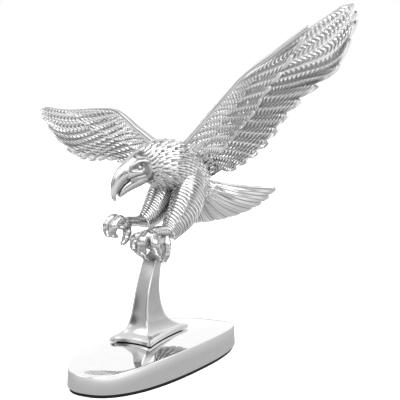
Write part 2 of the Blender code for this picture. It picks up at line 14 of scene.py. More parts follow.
import bmesh
import bpy
import numpy as np
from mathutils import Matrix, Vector

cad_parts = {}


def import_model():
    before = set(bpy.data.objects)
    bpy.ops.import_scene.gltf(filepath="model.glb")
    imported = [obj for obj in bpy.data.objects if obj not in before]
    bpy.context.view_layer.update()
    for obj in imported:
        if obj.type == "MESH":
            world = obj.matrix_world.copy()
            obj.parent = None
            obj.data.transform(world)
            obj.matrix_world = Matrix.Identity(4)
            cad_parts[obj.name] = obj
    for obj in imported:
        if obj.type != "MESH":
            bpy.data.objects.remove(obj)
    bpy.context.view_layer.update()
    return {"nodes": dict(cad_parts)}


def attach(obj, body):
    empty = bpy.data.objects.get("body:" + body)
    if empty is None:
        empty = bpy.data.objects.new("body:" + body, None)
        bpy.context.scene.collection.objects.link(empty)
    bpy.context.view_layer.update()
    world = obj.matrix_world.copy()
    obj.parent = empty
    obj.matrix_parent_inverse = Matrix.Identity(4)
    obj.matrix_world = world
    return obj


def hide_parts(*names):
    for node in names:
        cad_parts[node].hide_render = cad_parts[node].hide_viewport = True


LOG = logging.getLogger("hood_ornament")
MM = 0.001
END_SHARE = 0.02  # how much of a limb's length each of its rounded ends takes
BODY = "root"
GROOVE = "groove"


class Face(Enum):
    """Which side of a vane a row of feathers lies on."""

    BACK = 1.0
    BELLY = -1.0


class Grain(Enum):
    """How a feather is ridged."""

    BARBS = "barbs"
    LONG = "long"


# ---- colour, nodes and finishes --------------------------------------------------------------


def tone(code: str) -> tuple[float, float, float, float]:
    """Turns an sRGB hex colour into a linear one.

    Args:
        code: six hex digits.

    Returns:
        Red, green, blue and an alpha of 1.
    """
    channels = [int(code[i : i + 2], 16) / 255 for i in (0, 2, 4)]
    flat = [c / 12.92 if c <= 0.04045 else ((c + 0.055) / 1.055) ** 2.4 for c in channels]
    return (flat[0], flat[1], flat[2], 1.0)


def add_node(
    tree: bpy.types.NodeTree,
    kind: str,
    settings: dict | None = None,
    links: dict | None = None,
) -> bpy.types.Node:
    """Adds a node with its settings and the links into it.

    Args:
        tree: the tree it goes in.
        kind: the node's type name.
        settings: attributes, or input values under their names or numbers.
        links: the socket that feeds each named or numbered input.

    Returns:
        The new node.
    """
    node = tree.nodes.new(kind)
    for key, value in (settings or {}).items():
        if isinstance(key, str) and hasattr(node, key):
            setattr(node, key, value)
        else:
            node.inputs[key].default_value = value
    for key, socket in (links or {}).items():
        tree.links.new(socket, node.inputs[key])
    return node


class Recipe:
    """A material being made, with the steps that the finishes share."""

    def __init__(self, name: str, metallic: float) -> None:
        """Starts it, in the object's own coordinates.

        Args:
            name: the material's name.
            metallic: 1 for bare metal, 0 for anything else.
        """
        self.material = bpy.data.materials.new(name)
        self.material.use_nodes = True
        self.tree = self.material.node_tree
        self.shader = self.tree.nodes["Principled BSDF"]
        self.shader.inputs["Metallic"].default_value = metallic
        self.place = add_node(self.tree, "ShaderNodeTexCoord").outputs["Object"]

    def feed(self, name: str, socket: bpy.types.NodeSocket) -> None:
        """Links a socket to one of the shader's inputs."""
        self.tree.links.new(socket, self.shader.inputs[name])

    def texture(self, kind: str, settings: dict, output: str) -> bpy.types.NodeSocket:
        """Adds a texture.

        Args:
            kind: the node's type name.
            settings: its input values.
            output: which of its outputs is wanted.

        Returns:
            That output.
        """
        return add_node(self.tree, kind, settings, {"Vector": self.place}).outputs[output]

    def colour(self, first: str, second: str, by: bpy.types.NodeSocket) -> None:
        """Colours it between two tones.

        Args:
            first: the sRGB hex colour where by is 0.
            second: the sRGB hex colour where by is 1.
            by: what mixes them.
        """
        tones = {"data_type": "RGBA", 6: tone(first), 7: tone(second)}
        self.feed("Base Color", add_node(self.tree, "ShaderNodeMix", tones, {0: by}).outputs[2])

    def roughen(self, low: float, high: float, by: bpy.types.NodeSocket) -> None:
        """Varies its roughness.

        Args:
            low: the roughness where by is 0.
            high: the roughness where by is 1.
            by: what varies it.
        """
        span = {"To Min": low, "To Max": high}
        soft = add_node(self.tree, "ShaderNodeMapRange", span, {"Value": by})
        self.feed("Roughness", soft.outputs["Result"])

    def emboss(self, strength: float, metres: float, by: bpy.types.NodeSocket) -> None:
        """Gives it a fine relief in the shading.

        Args:
            strength: how much of the relief shows, from 0 to 1.
            metres: how high it stands.
            by: its height, from 0 to 1.
        """
        size = {"Strength": strength, "Distance": metres}
        bump = add_node(self.tree, "ShaderNodeBump", size, {"Height": by})
        self.feed("Normal", bump.outputs["Normal"])


@dataclass(frozen=True)
class Plating:
    """Bright chrome plate on a zinc casting: a mirror where it was polished first, and softer down
    in the grooves of a cast relief, where the plate is thin. The grooves are also painted darker,
    as painted shade."""

    name: str
    bright: str = "f3f3f3"
    dull: str = "eaeaea"
    # deep is the colour painted into the grooves as shade
    deep: str = "949494"
    polished: float = 0.05
    grooved: float = 0.3
    ripple: float = 0.0
    grooves: bool = False

    def material(self) -> bpy.types.Material:
        """Makes the finish.

        Returns:
            The material.
        """
        made = Recipe(self.name, 1.0)
        # faint waves left by casting and hand polishing, from a few millimetres down to half of one
        wave = made.texture("ShaderNodeTexNoise", {"Scale": 320.0, "Detail": 4.0}, "Fac")
        if self.grooves:
            # the grooves are painted darker, as painted shade, and made rougher
            depth = add_node(made.tree, "ShaderNodeAttribute", {"attribute_name": GROOVE})
            made.colour(self.bright, self.deep, depth.outputs["Fac"])
            made.roughen(self.polished, self.grooved, depth.outputs["Fac"])
        else:
            made.colour(self.bright, self.dull, wave)
            made.roughen(self.polished * 0.6, self.polished * 1.4, wave)
        if self.ripple:
            made.emboss(self.ripple, 0.0002, wave)
        return made.material


@dataclass(frozen=True)
class Foam:
    """Closed-cell black polyethylene foam: dull, with cells about 0.3 mm across."""

    name: str = "black_polyethylene_foam"

    def material(self) -> bpy.types.Material:
        """Makes the finish.

        Returns:
            The material.
        """
        made = Recipe(self.name, 0.0)
        made.shader.inputs["Roughness"].default_value = 0.85
        cells = made.texture("ShaderNodeTexVoronoi", {"Scale": 3300.0}, "Distance")
        made.colour("060606", "1c1c1c", cells)
        made.emboss(0.5, 0.0001, cells)
        return made.material


@dataclass(frozen=True)
class ZincSteel:
    """Bright zinc-plated steel: slightly cool, with the fine uneven grain of the plating."""

    name: str = "zinc_plated_steel"

    def material(self) -> bpy.types.Material:
        """Makes the finish.

        Returns:
            The material.
        """
        made = Recipe(self.name, 1.0)
        grain = made.texture("ShaderNodeTexNoise", {"Scale": 900.0, "Detail": 3.0}, "Fac")
        made.colour("b9bcc0", "cfd2d6", grain)
        made.roughen(0.25, 0.4, grain)
        return made.material


# ---- curves, surfaces and meshes -------------------------------------------------------------


def smooth_curve(points: np.ndarray, along: np.ndarray) -> np.ndarray:
    """Reads a smooth curve that passes through evenly numbered points.

    Args:
        points: one row per point.
        along: places from 0 at the first point to 1 at the last; a little more runs straight on.

    Returns:
        One row per place.
    """
    points = np.asarray(points, float)
    along = np.asarray(along, float)
    last = len(points) - 1
    padded = np.vstack([2 * points[0] - points[1], points, 2 * points[-1] - points[-2]])
    inside = np.clip(along, 0.0, 1.0) * last
    i = np.minimum(inside.astype(int), last - 1)
    t = (inside - i)[..., None]
    before, p, q, after = padded[i], padded[i + 1], padded[i + 2], padded[i + 3]
    place = 0.5 * (
        2 * p
        + (q - before) * t
        + (2 * before - 5 * p + 4 * q - after) * t**2
        + (3 * p - before - 3 * q + after) * t**3
    )
    over = (along - np.clip(along, 0.0, 1.0))[..., None] * last
    run = np.where(over < 0, points[1] - points[0], points[-1] - points[-2])
    return place + over * run


def unit(vectors: np.ndarray) -> np.ndarray:
    """Scales each row to length 1."""
    return vectors / np.maximum(np.linalg.norm(vectors, axis=-1, keepdims=True), 1e-9)


def at_height(ring: np.ndarray, height: np.ndarray | float) -> np.ndarray:
    """Stands an (x, y) outline at one height, or at a height for each point."""
    return np.column_stack([ring, np.broadcast_to(height, len(ring))])


def face_outwards(mesh: bpy.types.Mesh) -> None:
    """Turns the faces of closed shells outwards.

    Args:
        mesh: the mesh, which is changed.
    """
    work = bmesh.new()
    work.from_mesh(mesh)
    bmesh.ops.recalc_face_normals(work, faces=work.faces)
    work.to_mesh(mesh)
    work.free()


class Skin:
    """A surface that feathers can be laid on: u runs one way, v the other, both from 0 to 1."""

    turn: float = 1.0

    def middle(self, u: np.ndarray, v: np.ndarray) -> np.ndarray:
        """The surface's own points; each kind of skin has its own."""
        raise NotImplementedError

    def outward(self, u: np.ndarray, v: np.ndarray) -> np.ndarray:
        """The unit normal at each (u, v).

        Args:
            u: first coordinate.
            v: second coordinate.

        Returns:
            One unit vector per place.
        """
        step = 2e-3
        du = self.middle(u + step, v) - self.middle(u - step, v)
        dv = self.middle(u, v + step) - self.middle(u, v - step)
        return unit(np.cross(du, dv)) * self.turn

    def place(self, u: np.ndarray, v: np.ndarray, height: np.ndarray) -> np.ndarray:
        """Points standing off the surface.

        Args:
            u: first coordinate.
            v: second coordinate.
            height: distance off the surface, in millimetres.

        Returns:
            One point per place, in millimetres.
        """
        return self.middle(u, v) + self.outward(u, v) * np.asarray(height)[..., None]


@dataclass
class VaneSkin(Skin):
    """A cupped sheet between a leading and a trailing edge, given at ribs.

    The bow is how far the middle of each rib stands off towards the back of the bird."""

    lead: np.ndarray
    trail: np.ndarray
    bow: np.ndarray
    turn: float = 1.0
    bow_turn: float = 1.0

    def middle(self, u: np.ndarray, v: np.ndarray) -> np.ndarray:
        """Finds places on the sheet's mid-surface.

        Args:
            u: from the first rib to the last.
            v: from the leading edge to the trailing edge.

        Returns:
            One point per place, in millimetres.
        """
        u, v = np.broadcast_arrays(np.asarray(u, float), np.asarray(v, float))
        lead = smooth_curve(self.lead, u)
        chord = smooth_curve(self.trail, u) - lead
        span = smooth_curve(self.lead, u + 0.01) - smooth_curve(self.lead, u - 0.01)
        up = unit(np.cross(span, chord)) * self.bow_turn
        bow = smooth_curve(np.asarray(self.bow)[:, None], u)
        return lead + chord * v[..., None] + up * bow * (4 * v * (1 - v))[..., None]


@dataclass
class LimbSkin(Skin):
    """A round-sectioned skin along a line of (x, y, z, half width, half height) sections."""

    sections: np.ndarray
    side: tuple[float, float, float] = (1.0, 0.0, 0.0)
    turn: float = 1.0

    def middle(self, u: np.ndarray, v: np.ndarray) -> np.ndarray:
        """Finds places on the skin.

        Args:
            u: along the line of sections.
            v: once round.

        Returns:
            One point per place, in millimetres.
        """
        u, v = np.broadcast_arrays(np.asarray(u, float), np.asarray(v, float))
        here = smooth_curve(self.sections, u)
        ahead = smooth_curve(self.sections[:, :3], u + 0.02)
        behind = smooth_curve(self.sections[:, :3], u - 0.02)
        run = unit(ahead - behind)
        side = np.asarray(self.side, float)
        across = unit(side - run * (run @ side)[..., None])
        up = np.cross(across, run)
        turn = v * math.tau
        wide = (here[..., 3] * np.cos(turn))[..., None]
        high = (here[..., 4] * np.sin(turn))[..., None]
        return here[..., :3] + across * wide + up * high


@dataclass
class Melt:
    """One smooth closed skin: its points and normals, in millimetres, and its faces."""

    points: np.ndarray
    normals: np.ndarray
    faces: list[tuple[int, ...]]

    def hollows(self, full: float) -> np.ndarray:
        """Finds where the skin is dished inwards, as between two toes.

        Args:
            full: how far the neighbours of a point stand out when it counts as 1, in millimetres.

        Returns:
            One value from 0 to 1 for each point.
        """
        edges = np.array([(face[i - 1], face[i]) for face in self.faces for i in range(len(face))])
        both = np.vstack([edges, edges[:, ::-1]])
        count = np.bincount(both[:, 0], minlength=len(self.points))[:, None]

        def around(values: np.ndarray) -> np.ndarray:
            """Averages over each point's neighbours.

            Args:
                values: one row of values for each point.

            Returns:
                The averages, as many rows again.
            """
            total = np.zeros_like(values)
            np.add.at(total, both[:, 0], values[both[:, 1]])
            return total / np.maximum(count, 1)

        dish = np.sum((around(self.points) - self.points) * self.normals, axis=1)[:, None]
        for _ in range(3):
            dish = around(dish)
        return np.clip(dish[:, 0] / full, 0, 1)


@dataclass
class Draft:
    """A mesh being put together from several closed shells, in millimetres."""

    points: list[np.ndarray] = field(default_factory=list)
    grooves: list[np.ndarray] = field(default_factory=list)
    faces: list[tuple[int, ...]] = field(default_factory=list)
    count: int = 0

    def add(
        self,
        points: np.ndarray,
        faces: list[tuple[int, ...]],
        groove: np.ndarray | float = 0.0,
    ) -> None:
        """Adds one or more shells.

        Args:
            points: their vertices.
            faces: their faces, as vertex numbers in points.
            groove: how deep in a groove each vertex lies, from 0 to 1; it sets the painted shade
                and the roughness.
        """
        start = self.count
        self.points.append(points)
        self.grooves.append(np.broadcast_to(np.asarray(groove, float), (len(points),)))
        self.faces.extend(tuple(start + i for i in face) for face in faces)
        self.count += len(points)

    def add_rings(self, rings: np.ndarray, groove: np.ndarray | float = 0.0) -> None:
        """Adds a closed skin through rings of points, capped at both ends.

        Args:
            rings: shape (rings, points in a ring, 3).
            groove: one value, or one for each point.
        """
        count, sides = rings.shape[:2]
        faces = []
        for i in range(count - 1):
            for k in range(sides):
                here, after = i * sides + k, i * sides + (k + 1) % sides
                faces.append((here, after, after + sides, here + sides))
        tops = np.vstack([rings.reshape(-1, 3), rings[0].mean(0), rings[-1].mean(0)])
        for end, base in ((count * sides, 0), (count * sides + 1, (count - 1) * sides)):
            for k in range(sides):
                faces.append((end, base + k, base + (k + 1) % sides))
        if np.ndim(groove):
            groove = np.append(np.ravel(groove), [0.0, 0.0])
        self.add(tops, faces, groove)

    def add_limb(
        self,
        sections: list,
        rings: int = 40,
        sides: int = 20,
        side: tuple[float, ...] = (1.0, 0.0, 0.0),
        groove: float = 0.0,
    ) -> None:
        """Adds a round-sectioned limb with rounded ends.

        Args:
            sections: (x, y, z, half width, half height) in order.
            rings: how many rings it is drawn with.
            sides: points in each ring.
            side: the direction of the half width.
            groove: how rough its plate is and how much shade is painted on it, from 0 to 1.
        """
        skin = LimbSkin(np.asarray(sections, float), side)
        # the rings of each rounded end: how wide they are, and where they stand
        ends = np.array([0.03, 0.3, 0.6, 0.85])
        inset = END_SHARE * (1 - np.sqrt(1 - (1 - ends) ** 2))
        u = np.concatenate([inset, np.linspace(0, 1, rings)[1:-1], 1 - inset[::-1]])
        shrink = np.concatenate([ends, np.ones(rings - 2), ends[::-1]])
        v = np.arange(sides) / sides
        ring = skin.middle(u[:, None], v[None, :])
        centre = smooth_curve(skin.sections[:, :3], u)[:, None, :]
        self.add_rings(centre + (ring - centre) * shrink[:, None, None], groove)

    def melted(self, grain: float, passes: int = 4) -> Melt:
        """Runs the shells together into one smooth skin, as a casting has.

        Args:
            grain: how fine the skin is drawn, in millimetres.
            passes: how often it is smoothed.

        Returns:
            The skin.
        """
        mesh = bpy.data.meshes.new("melt")
        mesh.from_pydata(np.concatenate(self.points).tolist(), [], self.faces)
        face_outwards(mesh)
        seed = bpy.data.objects.new("melt", mesh)
        bpy.context.scene.collection.objects.link(seed)
        remesh = seed.modifiers.new("one_skin", "REMESH")
        remesh.mode = "VOXEL"
        remesh.voxel_size = grain
        soften = seed.modifiers.new("soften", "SMOOTH")
        soften.iterations = passes
        soften.factor = 0.5
        graph = bpy.context.evaluated_depsgraph_get()
        made = bpy.data.meshes.new_from_object(seed.evaluated_get(graph))
        points = np.empty(len(made.vertices) * 3)
        normals = np.empty(len(made.vertices) * 3)
        made.vertices.foreach_get("co", points)
        made.vertices.foreach_get("normal", normals)
        faces = [tuple(polygon.vertices) for polygon in made.polygons]
        seed.modifiers.clear()
        bpy.data.objects.remove(seed)
        bpy.data.meshes.remove(mesh)
        bpy.data.meshes.remove(made)
        return Melt(points.reshape(-1, 3), normals.reshape(-1, 3), faces)

    def build(
        self, name: str, material: bpy.types.Material, sharp: float = 50.0
    ) -> bpy.types.Object:
        """Makes the object.

        Args:
            name: its name.
            material: its finish.
            sharp: edges bent by more than this many degrees stay crisp.

        Returns:
            The object, at the origin.
        """
        mesh = bpy.data.meshes.new(name)
        mesh.from_pydata((np.concatenate(self.points) * MM).tolist(), [], self.faces)
        face_outwards(mesh)
        depth = mesh.attributes.new(GROOVE, "FLOAT", "POINT")
        depth.data.foreach_set("value", np.concatenate(self.grooves).astype(np.float32))
        mesh.shade_smooth()
        mesh.set_sharp_from_angle(angle=math.radians(sharp))
        mesh.materials.append(material)
        made = bpy.data.objects.new(name, mesh)
        bpy.context.scene.collection.objects.link(made)
        return made


# ---- feathers --------------------------------------------------------------------------------


@dataclass(frozen=True)
class FeatherBlank:
    """A flat unit feather, root to tip along X and one unit wide in Y, as a closed shell.

    Each point remembers its place across (-1 to 1), its row, and whether it is on the underside."""

    barbs: int
    steps: int = 4
    across: int = 8
    whole_underside: bool = False

    def build(self) -> bpy.types.Object:
        """Makes the blank.

        Returns:
            The blank's object, not linked to the scene.
        """
        rows, cols = self.barbs * self.steps, self.across
        points, over, under = [], [], []

        def grid(flag: float) -> np.ndarray:
            """Adds one grid of points.

            Args:
                flag: 1 for the underside, 0 for the top.

            Returns:
                The points' numbers, a row for each step along the feather.
            """
            numbers = np.empty((rows + 1, cols + 1), int)
            for i in range(rows + 1):
                for j in range(cols + 1):
                    numbers[i, j] = len(points)
                    points.append((i / rows, j / cols - 0.5, 0.0))
                    over.append(2 * j / cols - 1)
                    under.append(flag)
            return numbers

        top = grid(0.0)
        faces = []
        for i in range(rows):
            for j in range(cols):
                faces.append((top[i, j], top[i + 1, j], top[i + 1, j + 1], top[i, j + 1]))
        if self.whole_underside:
            low = grid(1.0)
            for i in range(rows):
                for j in range(cols):
                    faces.append((low[i, j], low[i, j + 1], low[i + 1, j + 1], low[i + 1, j]))
            for j in range(cols):
                faces.append((top[0, j], top[0, j + 1], low[0, j + 1], low[0, j]))
                faces.append((top[rows, j + 1], top[rows, j], low[rows, j], low[rows, j + 1]))
            left, right = low[:, 0], low[:, cols]
        else:
            left = np.arange(rows + 1) + len(points)
            points.extend((i / rows, -0.5, 0.0) for i in range(rows + 1))
            right = left + rows + 1
            points.extend((i / rows, 0.5, 0.0) for i in range(rows + 1))
            over.extend([-1.0] * (rows + 1) + [1.0] * (rows + 1))
            under.extend([1.0] * (2 * rows + 2))
            for i in range(rows):
                faces.append((left[i], right[i], right[i + 1], left[i + 1]))
            faces.append((*top[0], right[0], left[0]))
            faces.append((*top[rows][::-1], left[rows], right[rows]))
        for i in range(rows):
            faces.append((top[i + 1, 0], top[i, 0], left[i], left[i + 1]))
            faces.append((top[i, cols], top[i + 1, cols], right[i + 1], right[i]))
        mesh = bpy.data.meshes.new("feather_blank")
        mesh.from_pydata(points, [], [tuple(int(n) for n in face) for face in faces])
        for key, values in (("across", over), ("under", under)):
            layer = mesh.attributes.new(key, "FLOAT", "POINT")
            layer.data.foreach_set("value", values)
        return bpy.data.objects.new("feather_blank", mesh)


class FeatherBed:
    """Geometry Nodes that set a row of feather blanks side by side, to be laid on a skin later."""

    def __init__(self, material: bpy.types.Material) -> None:
        """Builds the tree.

        Args:
            material: the finish the tree sets.
        """
        self.material = material
        tree = bpy.data.node_groups.new("feather_bed", "GeometryNodeTree")
        sockets = (
            ("Geometry", "INPUT", "Geometry"),
            ("Feathers", "INPUT", "Int"),
            ("Overlap", "INPUT", "Float"),
            ("Blank", "INPUT", "Object"),
            ("Finish", "INPUT", "Material"),
            ("Geometry", "OUTPUT", "Geometry"),
        )
        self.keys: dict[str, str] = {}
        for name, way, kind in sockets:
            made = tree.interface.new_socket(name, in_out=way, socket_type="NodeSocket" + kind)
            self.keys[name] = made.identifier
        given = add_node(tree, "NodeGroupInput")
        each = add_node(
            tree, "ShaderNodeMath", {"operation": "DIVIDE", 0: 1.0}, {1: given.outputs["Feathers"]}
        )
        half = add_node(
            tree, "ShaderNodeMath", {"operation": "MULTIPLY", 1: 0.5}, {0: each.outputs[0]}
        )
        width = add_node(
            tree,
            "ShaderNodeMath",
            {"operation": "MULTIPLY"},
            {0: each.outputs[0], 1: given.outputs["Overlap"]},
        )
        start = add_node(tree, "ShaderNodeCombineXYZ", links={"Y": half.outputs[0]})
        offset = add_node(tree, "ShaderNodeCombineXYZ", links={"Y": each.outputs[0]})
        size = add_node(
            tree, "ShaderNodeCombineXYZ", {"X": 1.0, "Z": 1.0}, {"Y": width.outputs[0]}
        )
        line = add_node(
            tree,
            "GeometryNodeMeshLine",
            links={
                "Count": given.outputs["Feathers"],
                "Start Location": start.outputs[0],
                "Offset": offset.outputs[0],
            },
        )
        blank = add_node(tree, "GeometryNodeObjectInfo", links={"Object": given.outputs["Blank"]})
        copies = add_node(
            tree,
            "GeometryNodeInstanceOnPoints",
            links={
                "Points": line.outputs["Mesh"],
                "Instance": blank.outputs["Geometry"],
                "Scale": size.outputs[0],
            },
        )
        real = add_node(tree, "GeometryNodeRealizeInstances", links={0: copies.outputs[0]})
        dressed = add_node(
            tree,
            "GeometryNodeSetMaterial",
            links={"Geometry": real.outputs[0], "Material": given.outputs["Finish"]},
        )
        add_node(tree, "NodeGroupOutput", links={0: dressed.outputs[0]})
        self.tree = tree

    def lay_out(self, blank: bpy.types.Object, feathers: int, overlap: float) -> bpy.types.Mesh:
        """Evaluates the tree once.

        Args:
            blank: the unit feather.
            feathers: how many stand side by side.
            overlap: each feather's width against the distance between feathers.

        Returns:
            A plain mesh: X is root to tip from 0 to 1, and Y goes across the row from 0 to 1.
        """
        seed = bpy.data.objects.new("bed", bpy.data.meshes.new("bed"))
        bpy.context.scene.collection.objects.link(seed)
        modifier = seed.modifiers.new("feathers", "NODES")
        modifier.node_group = self.tree
        modifier[self.keys["Feathers"]] = feathers
        modifier[self.keys["Overlap"]] = overlap
        modifier[self.keys["Blank"]] = blank
        modifier[self.keys["Finish"]] = self.material
        graph = bpy.context.evaluated_depsgraph_get()
        mesh = bpy.data.meshes.new_from_object(seed.evaluated_get(graph))
        seed.modifiers.clear()
        bpy.data.objects.remove(seed)
        return mesh


@dataclass(frozen=True)
class Row:
    """One row of feathers on a skin, from a curve of roots to a curve of tips in (u, v).

    Heights are in millimetres: lift is how far a feather stands off at its root and its tip, crown
    is its dome, shaft its quill, ridge its barbs, and shingle how far one edge sinks below its
    neighbour. Slant, rounding and rim shape its outline as shares of its length."""

    feathers: int
    roots: tuple[tuple[float, float], ...]
    tips: tuple[tuple[float, float], ...]
    barbs: int
    lift: tuple[float, float]
    crown: float = 0.28
    shaft: float = 0.22
    ridge: float = 0.5
    slant: float = 0.05
    shingle: float = 0.16
    rounding: float = 0.06
    overlap: float = 1.02
    grain: Grain = Grain.BARBS
    face: Face = Face.BELLY
    through: bool = False
    across: int = 8
    unruly: float = 0.0
    rim: float = 0.0
    # how dark the troughs between the barbs are painted: painted shade
    painted_shade: float = 0.9

    def lay(self, bed: FeatherBed, skin: Skin, draft: Draft) -> None:
        """Adds the row to a draft.

        Args:
            bed: the Geometry Nodes that repeat the feather.
            skin: what the row lies on.
            draft: the mesh it joins.
        """
        steps = 4 if self.grain is Grain.BARBS else 1
        blank = FeatherBlank(self.barbs, steps, self.across, self.through).build()
        mesh = bed.lay_out(blank, self.feathers, self.overlap)
        total = len(mesh.vertices)
        flat = np.empty(total * 3)
        mesh.vertices.foreach_get("co", flat)
        flat = flat.reshape(-1, 3)
        over, under = np.empty(total), np.empty(total)
        mesh.attributes["across"].data.foreach_get("value", over)
        mesh.attributes["under"].data.foreach_get("value", under)
        faces = [tuple(polygon.vertices) for polygon in mesh.polygons]
        bpy.data.objects.remove(blank)
        bpy.data.meshes.remove(mesh)

        a, s = flat[:, 0], flat[:, 1]
        w = np.abs(over)
        rows = self.barbs * steps
        number = np.rint(a * rows).astype(int)
        # each feather's own length, lift and shift
        draw = np.random.default_rng(self.feathers * 101 + self.barbs)
        own = draw.uniform(-1, 1, (self.feathers, 3))
        own = own[np.arange(total) * self.feathers // total] * self.unruly
        belly = np.clip(np.sin(np.pi * a), 0, 1) ** 0.5
        run = a + self.slant * w * belly - self.rounding * w**3 * a**4
        run = run * (1 + 0.25 * own[:, 0]) + 0.2 * own[:, 2]
        root = smooth_curve(np.array(self.roots), s)
        tip = smooth_curve(np.array(self.tips), s)
        uv = root + (tip - root) * run[:, None]
        height, groove = self.relief(a, over, number)
        base = self.lift[0] + (self.lift[1] * (1 + 0.3 * own[:, 1]) - self.lift[0]) * a
        if self.through:
            offset = np.where(under > 0.5, 1.0, -1.0) * (base + height)
        else:
            offset = self.face.value * np.where(under > 0.5, 0.0, base + height)
            # the undersides of the feathers get painted shade
            groove = np.where(under > 0.5, 0.6, groove)
        draft.add(skin.place(uv[:, 0], uv[:, 1], offset), faces, groove)

    def relief(
        self, a: np.ndarray, over: np.ndarray, number: np.ndarray
    ) -> tuple[np.ndarray, np.ndarray]:
        """The height of the feather's pattern and how much shade is painted on each point, in the
        troughs between barbs, along the edges and on the rim.

        Args:
            a: root to tip, 0 to 1.
            over: across, -1 to 1.
            number: the row of each point.

        Returns:
            Heights in millimetres, and groove values from 0 to 1, which paint shade and roughen the
            plate.
        """
        w = np.abs(over)
        dome = self.crown * (1 - w**2)
        quill = np.clip(1 - w / 0.3, 0, 1)
        edge = np.clip((w - 0.7) / 0.3, 0, 1)
        if self.grain is Grain.BARBS:
            wave = np.array([0.0, 0.7, 1.0, 0.3])[number % 4]
        else:
            wave = 0.5 + 0.5 * np.cos(over * math.pi * self.across / 2)
        rim = np.clip((a - 1 + self.rim) / 0.03, 0, 1) if self.rim else 0.0
        fade = (1 - quill) * (1 - edge**2) * (1 - rim) * np.clip(8 * (1 - a), 0.2, 1)
        height = dome + self.shaft * quill * (1 - 0.6 * a) + self.ridge * wave * fade
        height = height - self.shingle * (over < -0.9)
        height = height - self.crown * 0.9 * rim * (1 - w**2)
        # painted shade in the troughs between barbs, along the edges and on the rim
        groove = (1 - wave) * fade * self.painted_shade + edge**2 * 0.45 + 0.3 * rim
        return height, np.clip(groove, 0, 0.95)


# ---- sub-assemblies --------------------------------------------------------------------------


@dataclass
class Finishes:
    """Every finish on the ornament, made once."""

    mirror: bpy.types.Material
    relief: bpy.types.Material
    post: bpy.types.Material
    foam: bpy.types.Material
    steel: bpy.types.Material

    @classmethod
    def make(cls) -> Finishes:
        """Makes them all.

        Returns:
            The finishes.
        """
        return cls(
            mirror=Plating("polished_chrome_plate", polished=0.03).material(),
            relief=Plating(
                "cast_chrome_plate", polished=0.09, grooved=0.28, ripple=0.3, grooves=True
            ).material(),
            post=Plating(
                "brushed_chrome_plate",
                bright="dedede",
                deep="b2b2b2",
                polished=0.14,
                grooved=0.2,
                ripple=0.25,
                grooves=True,
            ).material(),
            foam=Foam().material(),
            steel=ZincSteel().material(),
        )


@dataclass
class BasePlate:
    """Domed oval plate with a crisp rim, open below."""

    length: float = 88.0
    width: float = 33.0
    power: float = 2.45
    bottom: float = 1.1
    end_height: float = 6.7
    crown: float = 4.5
    side_crown: float = 2.0
    fullness: float = 2.7
    flare: float = 1.03
    rim: float = 0.25
    wall: float = 2.2
    ceiling: float = 6.0
    chamfer: float = 0.3

    def outline(self, inset: float, sides: int = 240) -> np.ndarray:
        """The oval outline, drawn in by inset millimetres.

        Args:
            inset: distance inwards.
            sides: how many points it has.

        Returns:
            One (x, y) row per point.
        """
        angle = math.tau * (np.arange(sides) + 0.5) / sides
        c, s = np.cos(angle), np.sin(angle)
        x = np.sign(c) * np.abs(c) ** (2 / self.power) * self.width / 2
        y = np.sign(s) * np.abs(s) ** (2 / self.power) * self.length / 2
        edge = np.stack([x, y], 1)
        run = np.roll(edge, -1, 0) - np.roll(edge, 1, 0)
        out = unit(np.stack([run[:, 1], -run[:, 0]], 1))
        return edge - out * inset

    def top(self, place: np.ndarray) -> np.ndarray:
        """The height of the domed top.

        Args:
            place: (x, y) rows.

        Returns:
            Heights in millimetres.
        """
        across = np.abs(place[..., 0] / (self.width / 2)) ** self.fullness
        along = np.abs(place[..., 1] / (self.length / 2)) ** self.fullness
        return self.end_height + self.crown * (1 - along) - self.side_crown * across

    def build(self, finish: bpy.types.Material) -> bpy.types.Object:
        """Makes the plate's visible shell.

        Args:
            finish: the mirror chrome.

        Returns:
            The plate.
        """
        inner = self.outline(self.wall)
        rings = [at_height(inner, height) for height in (self.ceiling, self.bottom)]
        for inset, height in ((self.chamfer, self.bottom), (0.0, self.bottom + self.chamfer)):
            ring = self.outline(inset)
            ring[:, 0] *= self.flare
            rings.append(at_height(ring, height))
        edge = self.outline(0.0)
        rings.append(at_height(edge, self.top(edge) - self.rim))
        for angle in (30, 60, 90):
            inset = self.rim * (1 - math.cos(math.radians(angle)))
            ring = self.outline(inset)
            fall = self.rim * (1 - math.sin(math.radians(angle)))
            rings.append(at_height(ring, self.top(ring) - fall))
        core = self.outline(self.rim)
        for scale in np.linspace(1, 0.02, 40)[1:]:
            rings.append(at_height(core * scale, self.top(core * scale)))
        draft = Draft()
        draft.add_rings(np.array(rings))
        made = draft.build("base_plate_shell", finish, 28.0)
        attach(made, BODY)
        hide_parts("base_plate")
        return made


@dataclass
class MountingPad:
    """Adhesive foam pad under the plate, with slightly bulging cut sides."""

    inset: float = 0.7
    thick: float = 0.95
    bulge: float = 0.08

    def build(self, plate: BasePlate, finish: bpy.types.Material) -> bpy.types.Object:
        """Makes the pad.

        Args:
            plate: the plate it is cut to.
            finish: the foam.

        Returns:
            The pad.
        """
        rings = []
        for rise in np.linspace(0, 1, 7):
            swell = self.bulge * (1 - (2 * rise - 1) ** 2)
            ring = plate.outline(self.inset - swell)
            ring[:, 0] *= plate.flare
            rings.append(at_height(ring, self.thick * rise))
        # a smaller ring on each face keeps the faces' triangles from running to one point
        low, high = (at_height(ring[:, :2] * 0.6, ring[:, 2]) for ring in (rings[0], rings[-1]))
        draft = Draft()
        draft.add_rings(np.array([low, *rings, high]))
        made = draft.build("foam_pad", finish, 40.0)
        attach(made, BODY)
        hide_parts("mounting_pad")
        return made


